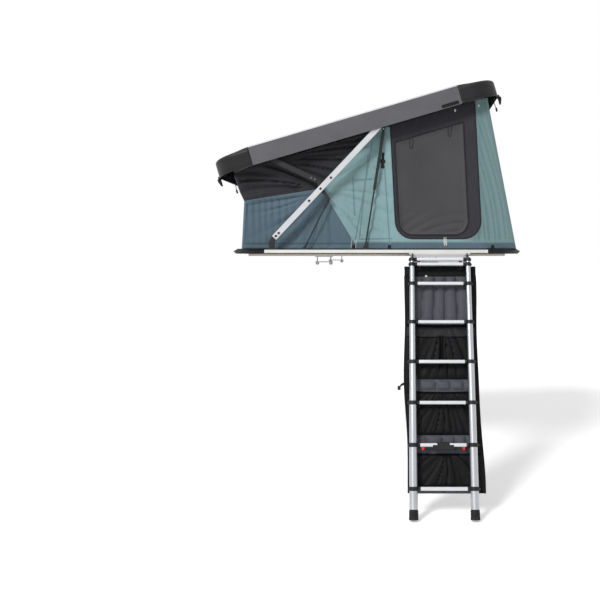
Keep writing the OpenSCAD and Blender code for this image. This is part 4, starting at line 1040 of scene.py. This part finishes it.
def make_organizer_panel():
    build = Build()
    columns = np.linspace(-ORG_HW, ORG_HW, 69)
    levels = np.linspace(ORG_TOP, ORG_TOP + ORG_L, 171)
    drape = waves(201, 4, 22, 48)
    rows = []
    for t in levels:
        lining = 1 - smooth((np.abs(columns) - ORG_HW + ORG_BAND + 0.012) / 0.012)
        clear = max(rise(t, t0, 0.012) * smooth((t1 - t) / 0.012) for t0, t1 in LINING_SHOWS)
        ripple = drape(columns + 0.02 * np.sin(3.5 * t + 8 * columns))
        folds = ORG_FOLD * ridged(1.5 * ripple) * lining * clear
        hem = ORG_HEM * smooth((np.abs(columns) - ORG_HW + ORG_BAND) / 0.006)
        flap = ORG_LIP * (1 - smooth((t - ORG_FLAP + 0.004) / 0.004))
        edge = 1 + 0.012 * math.sin(9 * t) * (t > ORG_FLAP)
        x = columns * edge + org_shift(t)
        rows.append([on_ladder(x[j], ORG_Y - folds[j] - hem[j] - flap, t) for j in range(len(columns))])
    build.grid(rows)

    def bag_cloth(face):
        row, column = divmod(face, len(columns) - 1)
        middle = (columns[column] + columns[column + 1]) / 2
        return abs(middle) > ORG_HW - ORG_BAND or levels[row] < ORG_FLAP

    build.tints = [0 if bag_cloth(face) else 1 for face in range(len(build.faces))]
    panel = build.piece("organizer_panel", [BAG, LINING], "ladder_head", "organizer_cloth", ["organizer"],
                        sharp=60, sheet=True)
    thicken(panel, "cloth", CLOTH_T)
    return panel


def pocket_front(u, v, number):
    """Depth of a pocket's front: u from -1 to 1 across, v from 0 at its mouth to 1 at its foot."""
    across = 1 - np.abs(u) ** 7
    down = (1 - (1 - np.clip(v / 0.16, 0, 1)) ** 2) * (1 - np.clip((v - 0.86) / 0.14, 0, 1) ** 3)
    spread = np.arctan2(u * 1.4, v + 0.25)
    folds = POCKET_FOLD * creases(220 + number, 2, 5, 9, spread * 1.6 + 0.3 * v, 1.5) * smooth(v / 0.08)
    slack = POCKET_SLACK * np.sin(2.6 * u + number) * v
    return np.clip(POCKET_D - 0.0055 + slack - folds, 0.002, POCKET_D - 0.001) * across * down


def make_pocket(number, t0, t1):
    build = Build()
    us = np.linspace(-1, 1, 57)
    vs = np.linspace(0, 1, 45)

    def spot(u, v, depth):
        t = t0 + (t1 - t0) * (v + 0.02 * (1 - u * u) * (1 - v))
        return on_ladder(u * POCKET_HW + org_shift(t), ORG_Y - POCKET_GAP - depth, t)

    def over(us, vs, lift):
        """Points at a height above the pocket's front."""
        return [[spot(u, v, pocket_front(u, v, number) + lift) for u in us] for v in vs]

    add_slab(build, over(us, vs, 0.0), [[spot(u, v, -SEWN) for u in us] for v in vs])
    for v0, v1, u0, u1, lift, tint in FLAP_BANDS if number == 0 else MOUTH_BAND:
        across = np.linspace(u0, u1, 49 if u1 - u0 > 1 else 7)
        down = np.linspace(v0, v1, max(4, int(40 * (v1 - v0))))
        add_slab(build, over(across, down, lift), over(across, down, -SEWN), tint)
    pocket = build.piece(f"organizer_pocket_{number + 1}", [BAG, STRAP, FLAP], "ladder_head",
                         "organizer_cloth", sharp=50)


def make_organizer_straps():
    """Webbing loops from the panel over the first rung, with buckles, a loose side strap and a zip pull."""
    build = Build()

    def web(x, lift):
        return [[on_ladder(x + u, y + lift, t + lift) for u in (-WEB_HALF, 0, WEB_HALF)]
                for y, t in WEB_PATH]

    def side_strap(back):
        edges = (-SIDE_STRAP_HALF, 0, SIDE_STRAP_HALF)
        return [[on_ladder(x + org_shift(t), y + back, t + v) for v in edges] for x, y, t in SIDE_STRAP]

    buckle = rounded_box(0.017, 0.012, 0.003)
    for x in WEB_AT:
        add_slab(build, web(x, -WEB_LIFT), web(x, WEB_LIFT))
        build.loft([[on_ladder(x + u, y, 0.086 + v) for u, v in buckle] for y in (0.0475, 0.052)], tint=1)
    add_slab(build, side_strap(0.0), side_strap(SIDE_STRAP_T))
    clip = rounded_box(0.011, 0.014, 0.004)
    build.loft([[on_ladder(-0.290 + org_shift(0.93) + u, y, 0.936 + v) for u, v in clip]
                for y in (0.038, 0.048)], tint=1)
    pull = rounded_box(0.0075, 0.006, 0.002)
    build.loft([[on_ladder(-0.098 + u, ORG_Y - 0.004 - out, ORG_FLAP + 0.004 + v) for u, v in pull]
                for out in (0.0, 0.004, 0.009)], tint=2)
    build.piece("organizer_straps", [WEBBING, COLLAR, CORD], "ladder_head", "organizer_cloth")


organizer_panel = make_organizer_panel()
for number, (t0, t1) in enumerate(POCKETS):
    make_pocket(number, t0, t1)
make_organizer_straps()


# Seams, bindings and small hardware of the canopy, on both long sides

SEAM_HALF, SEAM_LIFT, SEAM_SUNK = 0.0045, 0.0016, -0.0012
ZIP_R, ZIP_LIFT, BINDING_HALF, BINDING_LIFT = 0.0032, 0.0010, 0.006, 0.0022
PATH_STEP, CORD_STEP = 0.012, 0.008


def along(path, step=PATH_STEP):
    """Points along an X-Z polyline at an even step."""
    spots = [np.array(path[0], float)]
    for p, q in zip(path, path[1:]):
        p, q = np.array(p, float), np.array(q, float)
        parts = max(1, math.ceil(np.linalg.norm(q - p) / step))
        spots += [p + (q - p) * (k + 1) / parts for k in range(parts)]
    return np.array(spots)


def add_ribbon(build, path, half, lift, wall, tint=0):
    """Raised tape on a side wall along an X-Z polyline."""
    line = along(path)
    ahead = np.gradient(line, axis=0)
    ahead /= np.maximum(np.linalg.norm(ahead, axis=1, keepdims=True), 1e-9)
    across = np.stack([-ahead[:, 1], ahead[:, 0]], axis=1)
    section = [(half, SEAM_SUNK), (half, lift * 0.7), (half * 0.6, lift)]
    edges = []
    for offset, out in section + [(-offset, out) for offset, out in reversed(section)]:
        edge = side_surface(line + across * offset, *wall)
        edge[:, 1] += wall[1] * out
        edges.append(edge)
    build.loft([[Vector(edge[i]) for edge in edges] for i in range(len(line))], tint)


def add_wall_cord(build, path, radius, lift, wall, tint=0, sides=8):
    spots = side_surface(along(path, CORD_STEP), *wall)
    spots[:, 1] += wall[1] * lift
    build.cord([Vector(p) for p in spots], radius, sides, tint)


def add_wall_block(build, x, z, hx, hz, depth, wall, tint=0, r=0.003):
    """Small moulded block on a side wall."""
    y = side_surface(np.array([[x, z]]), *wall)[0, 1]
    levels = [(0.0, -0.002), (0.0, depth - 0.0015), (0.0015, depth)]
    build.loft([[Vector((x + u, y + wall[1] * out, z + v)) for u, v in rounded_box(hx - draw, hz - draw, r)]
                for draw, out in levels], tint)


TEAL_SEAMS = [
    [(0.057, 0.667), (0.097, 0.080)], [(0.750, 1.060), (0.785, 0.474), (0.847, 0.100)],
    [(-0.031, 0.834), (-0.154, 0.119)], [(-0.062, 0.737), (-0.124, 0.136)],
    [(-0.173, 0.578), (-0.160, 0.295)], [(-0.160, 0.556), (-0.027, 0.565)],
    [(-0.150, 0.101), (1.012, 0.101)], [(-0.130, 0.124), (0.115, 0.128)],
]
SLATE_SEAMS = [
    [(-0.966, 0.373), (-0.440, 0.456)], [(-0.984, 0.092), (-0.170, 0.092)],
    [(-0.951, 0.372), (-0.968, 0.092)],
]


def make_seams():
    """Seam tapes, and the zip round the door with the binding round its mesh."""
    for name, finish, slot, seams in (("canopy_seams_teal", SEAM_TEAL, "teal_cloth", TEAL_SEAMS),
                                      ("canopy_seams_slate", SEAM_SLATE, "slate_cloth", SLATE_SEAMS)):
        build = Build()
        for wall in WALLS:
            for path in seams:
                add_ribbon(build, path, SEAM_HALF, SEAM_LIFT, wall)
        fold_flat(build.piece(name, [finish], "base", slot, sharp=50))
    build = Build()
    door, mesh = (np.vstack([REGIONS[name], REGIONS[name][:1]]) for name in ("door", "mesh"))
    for wall in WALLS:
        add_wall_cord(build, door, ZIP_R, ZIP_LIFT, wall)
        add_ribbon(build, mesh, BINDING_HALF, BINDING_LIFT, wall)
    fold_flat(build.piece("door_zip_binding", [BINDING], "base", "black_cloth", sharp=50))


BUCKLE_STRAP, BUCKLE_HALF, BUCKLE_LIFT = [(0.048, 0.755), (0.046, 0.640)], 0.009, 0.0030
# Blocks sewn to the walls: half length, half height, depth, tint and places
WALL_BLOCKS = [
    (0.017, 0.013, 0.0044, 1, [(0.047, 0.690)]), (0.013, 0.012, 0.0040, 1, [(0.046, 0.655)]),
    (0.011, 0.0135, 0.0042, 1, [(0.0945, 0.069), (0.846, 0.069), (-0.166, 0.069)]),
    (0.006, 0.010, 0.0040, 2, [(0.746, 1.098), (0.574, 1.062)]),
]
# Roll-up loops, zip pulls and tie cords: run from each place, radius, lift, tint and places
WALL_CORDS = [
    ([(-0.012, 0), (-0.011, -0.045), (-0.004, -0.072), (0.006, -0.070), (0.012, -0.040), (0.012, 0)],
     0.0019, 0.0022, 0, [(0.255, 0.858), (0.534, 0.945)]),
    ([(0, 0.138), (-0.003, 0.115), (-0.001, 0.092), (0.004, 0.074), (0.006, 0.096), (0.003, 0.125)],
     0.0022, 0.0021, 2, [(0.494, 0), (0.507, 0)]),
    ([(0.004, 0.128), (0, 0.090), (-0.003, 0.058)], 0.0016, 0.0024, 2, [(-0.182, 0), (-0.149, 0)]),
]


def make_hardware():
    """Strap with a buckle, hem clips, cord ends, roll-up loops, zip pulls and tie cords."""
    build = Build()
    for wall in WALLS:
        add_ribbon(build, BUCKLE_STRAP, BUCKLE_HALF, BUCKLE_LIFT, wall)
        for hx, hz, depth, tint, places in WALL_BLOCKS:
            for x, z in places:
                add_wall_block(build, x, z, hx, hz, depth, wall, tint)
        for run, radius, lift, tint, places in WALL_CORDS:
            for x, z in places:
                add_wall_cord(build, [(x + u, z + v) for u, v in run], radius, lift, wall, tint)
    fold_flat(build.piece("canopy_hardware", [WEBBING, LATCH, CORD], "base", "black_cloth"))


make_seams()
make_hardware()


# Inside: mattress and padded ceiling

MATTRESS_LO, MATTRESS_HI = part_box("mattress")
MATTRESS_R, MATTRESS_STEP, PIPING_R, PIPING_IN = 0.090, 0.03, 0.004, 0.010
LINER_HX, LINER_HY, LINER_TOP, QUILT_CELL, LINER_RIM = 0.780, 0.622, 0.1688, 0.13, 0.02


def make_mattress():
    build = Build()
    cx, hx = (MATTRESS_LO.x + MATTRESS_HI.x) / 2, (MATTRESS_HI.x - MATTRESS_LO.x) / 2
    hy, z0, h = MATTRESS_HI.y, MATTRESS_LO.z, MATTRESS_HI.z - MATTRESS_LO.z
    outline = rounded_box(hx, hy, MATTRESS_R, 12)
    dense_line = []
    for (x0, y0), (x1, y1) in zip(outline, outline[1:] + outline[:1]):
        parts = max(1, math.ceil(math.hypot(x1 - x0, y1 - y0) / MATTRESS_STEP))
        dense_line += [(x0 + (x1 - x0) * k / parts, y0 + (y1 - y0) * k / parts) for k in range(parts)]

    def ring(inset, z):
        sx, sy = (hx - inset) / hx, (hy - inset) / hy
        return [Vector((cx + x * sx, y * sy, z)) for x, y in dense_line]

    levels = [(0.020, 0.0), (0.006, 0.003), (0.001, 0.012), (0.004, 0.30 * h), (0.005, 0.5 * h),
              (0.004, 0.70 * h), (0.001, h - 0.012), (0.006, h - 0.004), (0.020, h - 0.0012)]
    crown = [(0.06 + 0.06 * k, h - 0.001 - 0.004 * (k % 2)) for k in range(9)]
    build.loft([ring(inset, z0 + z) for inset, z in levels + crown])
    for z in (z0 + PIPING_IN, z0 + h - PIPING_IN):
        line = ring(0.0, z)
        build.cord(line + line[:1], PIPING_R, 8, 1)
    pad = build.piece("mattress_pad", [TICKING, SEAM_SLATE], "base", "mattress_cloth", ["mattress"],
                      sharp=50)


def make_liner():
    """Padded ceiling, quilted in squares."""
    xs, ys = np.linspace(-LINER_HX, LINER_HX, 97), np.linspace(-LINER_HY, LINER_HY, 79)
    build = Build()

    def swell(u, half):
        return abs(math.sin(math.pi * (u + half) / QUILT_CELL)) ** 0.5

    def puff(x, y):
        rim = smooth((LINER_HX - abs(x)) / LINER_RIM) * smooth((LINER_HY - abs(y)) / LINER_RIM)
        return 0.0015 + (0.0015 + 0.005 * (swell(x, LINER_HX) * swell(y, LINER_HY))) * rim

    lower = [[on_lid(x, y, LINER_TOP - puff(x, y)) for y in ys] for x in xs]
    upper = [[on_lid(x, y, LINER_TOP) for y in ys] for x in xs]
    add_slab(build, lower, upper)
    pad = build.piece("ceiling_pad", [QUILT], "lid", "liner_cloth", ["lid_liner"], sharp=60)


make_mattress()
make_liner()


# Fasteners and covers on the linkage, brackets and dark strips of painted shade on the rails, and pull
# straps on the lid's ends

ARM_DEG, ARM_OFFSET = 46.7, 0.0335
ARM_FACE = 0.691
ARM_BOLTS = [0.080, 0.110, 0.4286, 0.548, 0.657]
WASHER = [(0.0108, -0.0005), (0.0108, 0.0010), (0.0100, 0.0016), (0.0085, 0.0016)]
BOLT_HEAD = [(0.0084, 0.0012), (0.0084, 0.0026), (0.0074, 0.0042), (0.0058, 0.0051), (0.0036, 0.0055),
             (0.0034, 0.0030)]
arm_foot = Vector(joints["arm_fold"]["pos_m"])


def add_bolt(build, s, sign):
    """Dark button head with a washer and a socket, at a distance along a long arm."""
    x, z = turned(s, ARM_OFFSET, ARM_DEG)

    def outward(u, v, h):
        return Vector((arm_foot.x + x + u, sign * (ARM_FACE + h), arm_foot.z + z + v))

    build.lathe(WASHER, outward, 28, 1)
    build.lathe(BOLT_HEAD, outward, 28, 0)


def make_arm_bolts():
    build = Build()
    for sign in SIDES:
        for s in ARM_BOLTS:
            add_bolt(build, s, sign)
    build.piece("arm_bolt_heads", [BOLT, STEEL], "arms", "pin_steel")


# Y of the straps at each end of the lid, the sign of its X first
STRAP_AT = {-1: (0.0,), 1: (-0.300, 0.300)}
STRAP_HALF, STRAP_T = 0.010, 0.0022
STRAP_DROP = [0.030, 0.012, -0.004, -0.018, -0.032, -0.044]
STRAP_TAB = [(0.0, 0.9), (0.0015, 1.0), (0.0075, 1.0), (0.009, 0.9)]


def add_pull_strap(build, end, y0):
    """Webbing down from the lid's edge, riveted on, with a moulded tab."""
    def place(out, across, up):
        return on_lid(end * (LID_HX + out), y0 + across, LID_FOOT + up)

    def strap(lift):
        return [[place(lift + 0.0035 * k / 5, u, up) for u in (-STRAP_HALF, 0, STRAP_HALF)]
                for k, up in enumerate(STRAP_DROP)]

    add_slab(build, strap(STRAP_T), strap(SEWN))
    tab = rounded_box(0.016, 0.015, 0.004)
    build.loft([[place(0.0008 + out, u * size, v * size - 0.050) for u, v in tab]
                for out, size in STRAP_TAB], 1)
    build.lathe([(0.006, 0.0), (0.006, 0.0016), (0.004, 0.0028)],
                lambda u, v, h: place(STRAP_T + h, u, 0.022 + v), 18, 1)


def make_pull_straps():
    build = Build()
    for end, places in STRAP_AT.items():
        for y0 in places:
            add_pull_strap(build, end, y0)
    build.piece("lid_pull_straps", [WEBBING, LATCH], "lid", "latch_plastic")


RAIL_FACE, RAIL_END, RAIL_FOOT = 0.700, 0.803, 0.016
LADDER_GAP = (0.236, 0.676)
# Section of the dark strip of painted shade under a rail: out and up
SHADE_STRIP_SECTION = [(-0.0006, 0.0004), (0.0010, 0.0004), (0.0014, 0.0020), (0.0014, 0.0050), (0.0008, 0.0068),
               (-0.0006, 0.0072)]


def make_rail_shade_strips():
    """Dark strip of painted shade along the lower edge of each side rail, where its rounded edge lies in
    shadow, open where the ladder's bar is.
    """
    build = Build()
    spans = [(-1, -RAIL_END, LADDER_GAP[0]), (-1, LADDER_GAP[1], RAIL_END), (1, -RAIL_END, RAIL_END)]
    for sign, x0, x1 in spans:
        stations = np.linspace(x0, x1, 2 + int((x1 - x0) / 0.05))
        build.loft([[Vector((x, sign * (RAIL_FACE + out), RAIL_FOOT + up)) for out, up in SHADE_STRIP_SECTION]
                    for x in stations])
    # The dark rubber finish here is painted shade under the rail's rounded edge.
    build.piece("rail_painted_shade", [RUBBER], "base", "foot_rubber")


# X, half length and height of each bracket's side plate: arm, control rod, tie cords, strut
CHEEKS = [(-0.748, 0.034, 0.017), (-0.515, 0.026, 0.015), (-0.169, 0.042, 0.006), (-0.082, 0.024, 0.015)]
CHEEK_Y, CHEEK_FOOT = (0.6915, 0.6931), 0.0462


def make_cheeks():
    """Side plates of the brackets on the rails."""
    build = Build()
    for x0, half, tall in CHEEKS:
        edge = [(half, 0.0), (half, 0.3 * tall), (half - 0.003, 0.52 * tall), (0.62 * half, 0.9 * tall),
                (0.5 * half, tall)]
        outline = edge + [(-u, v) for u, v in reversed(edge)]
        loft_pair(build, [[(x0 + u, y, CHEEK_FOOT + v) for u, v in outline] for y in CHEEK_Y])
    build.piece("bracket_cheeks", [DARK], "base", "bracket_metal")


def cut_corners(points, times=2):
    """Closed outline with its corners cut off again and again, which rounds them."""
    for _ in range(times):
        pairs = list(zip(points, points[1:] + points[:1]))
        points = [tuple(p + (q - p) * t for p, q in zip(a, b)) for a, b in pairs for t in (0.25, 0.75)]
    return points


# Outline of an arm's moulded foot round its pivot, tent open, and its depth with the edge drawn in
ARM_FOOT = [(0.012, -0.011), (0.020, -0.001), (0.0225, 0.008), (0.020, 0.026), (0.0215, 0.040),
            (0.029, 0.0520), (0.028, 0.0535), (0.003, 0.0765), (0.000, 0.0775), (-0.013, 0.057),
            (-0.0225, 0.036), (-0.0215, 0.010), (-0.017, -0.009), (-0.010, -0.013)]
ARM_FOOT_RINGS = [(0.6785, 1.0), (0.6898, 1.0), (0.6906, 0.97), (0.6912, 0.90)]
ARM_FOOT_MIDDLE = (0.001, 0.032)


def make_arm_feet():
    build = Build()
    outline = cut_corners(ARM_FOOT)
    mid_x, mid_z = ARM_FOOT_MIDDLE
    x0, z0 = arm_foot.x + mid_x, arm_foot.z + mid_z
    loft_pair(build, [[(x0 + (u - mid_x) * size, y, z0 + (v - mid_z) * size) for u, v in outline]
                      for y, size in ARM_FOOT_RINGS])
    build.piece("arm_foot_covers", [DARK], "arms", "bracket_metal")


ROD_Y, ROD_HALF_DEPTH = 0.6545, 0.0063
CRANK_PIN, SHORT_DEG = (0.083, -0.040), 25
# Distance from the end's pin along the rod, and half width there
ROD_SOCKET = [(-0.0105, 0.0040), (-0.0090, 0.0066), (-0.0050, 0.0086), (0.0, 0.0094), (0.020, 0.0094),
              (0.062, 0.0090), (0.074, 0.0086), (0.080, 0.0062)]
ROD_FOOT = [(-0.0085, 0.0036), (-0.0060, 0.0064), (0.0, 0.0086), (0.020, 0.0086), (0.050, 0.0066),
            (0.060, 0.0056)]


def make_rod_ends():
    """Moulded sockets on both ends of the control rods."""
    build = Build()
    knee, foot = (Vector(joints[name]["pos_m"]).xz for name in ("short_link_fold", "rod_fold"))
    pin = knee + Vector(turned(*CRANK_PIN, -SHORT_DEG))
    up = (pin - foot).normalized()
    across = Vector((up.y, -up.x))
    for start, heading, profile in ((pin, -up, ROD_SOCKET), (foot, up, ROD_FOOT)):
        rings = []
        for t, half in profile:
            depth = min(ROD_HALF_DEPTH, 1.1 * half)
            middle = start + heading * t
            rings.append([(middle.x + across.x * half * c, ROD_Y + depth * s, middle.y + across.y * half * c)
                          for c, s in circle(24)])
        loft_pair(build, rings)
    build.piece("rod_end_sockets", [DARK], "rods", "bracket_metal")


make_arm_bolts()
make_pull_straps()
make_rail_shade_strips()
make_cheeks()
make_arm_feet()
make_rod_ends()


# Soft edges on the machined and moulded solids

EDGES = {
    0.0018: ["side_rails", "end_rails", "mount_tracks", "ladder_bar", "long_arms", "short_arms",
             "short_arm_cranks", "arm_goosenecks", "pivot_brackets", "strut_lugs", "clamp_saddles",
             "clamp_plates"],
    0.0012: ["lid_sides", "lid_trims", "lid_grips", "latch_plates", *LATCHES, "guide_channels"],
    0.0035: ["ladder_grip", "corner_caps"],
}
for width, names in EDGES.items():
    for name in names:
        edge = nodes[name].modifiers.new("edges", "BEVEL")
        edge.width = width
        edge.segments = 2
        edge.limit_method = "ANGLE"
        edge.angle_limit = math.radians(40)
        edge.use_clamp_overlap = True


# Stage: pale floor, white surroundings and soft light

WHITE = (1, 1, 1, 1)
FLOOR_HALF, FLOOR_GAP, FLOOR_GLOW, SKY_LIGHT = 60.0, 0.001, 0.34, 0.48


def make_floor():
    mesh = bpy.data.meshes.new("floor")
    z = cad_lo.z - FLOOR_GAP
    corners = ((-1, -1), (1, -1), (1, 1), (-1, 1))
    mesh.from_pydata([(u * FLOOR_HALF, v * FLOOR_HALF, z) for u, v in corners], [], [(0, 1, 2, 3)])
    floor = bpy.data.objects.new("floor", mesh)
    scene.collection.objects.link(floor)
    paint = Paint("floor_white", 0.9)
    paint.colour((0.93, 0.93, 0.93, 1))
    paint.feed(paint.shader.inputs["Emission Color"], WHITE)
    paint.feed(paint.shader.inputs["Emission Strength"], paint.math("MULTIPLY", paint.seen(), FLOOR_GLOW))
    mesh.materials.append(paint.mat)


def make_world():
    """White where it is seen, and dimmer as light."""
    world = bpy.data.worlds.new("studio")
    scene.world = world
    world.use_nodes = True
    sky = Tree(world.node_tree)
    strength = sky.add("ShaderNodeMapRange", Value=sky.seen(), To_Min=SKY_LIGHT, To_Max=1.0).outputs[0]
    background = sky.tree.nodes["Background"].inputs
    sky.feed(background["Color"], WHITE)
    sky.feed(background["Strength"], strength)


def make_sun(name, direction, strength, softness):
    lamp = bpy.data.lights.new(name, "SUN")
    lamp.energy = strength
    lamp.angle = math.radians(softness)
    holder = bpy.data.objects.new(name, lamp)
    holder.rotation_euler = Vector(direction).to_track_quat("-Z", "Y").to_euler()
    scene.collection.objects.link(holder)


make_floor()
make_world()
make_sun("key", (0.45, 0.65, -0.62), 2.6, 16)
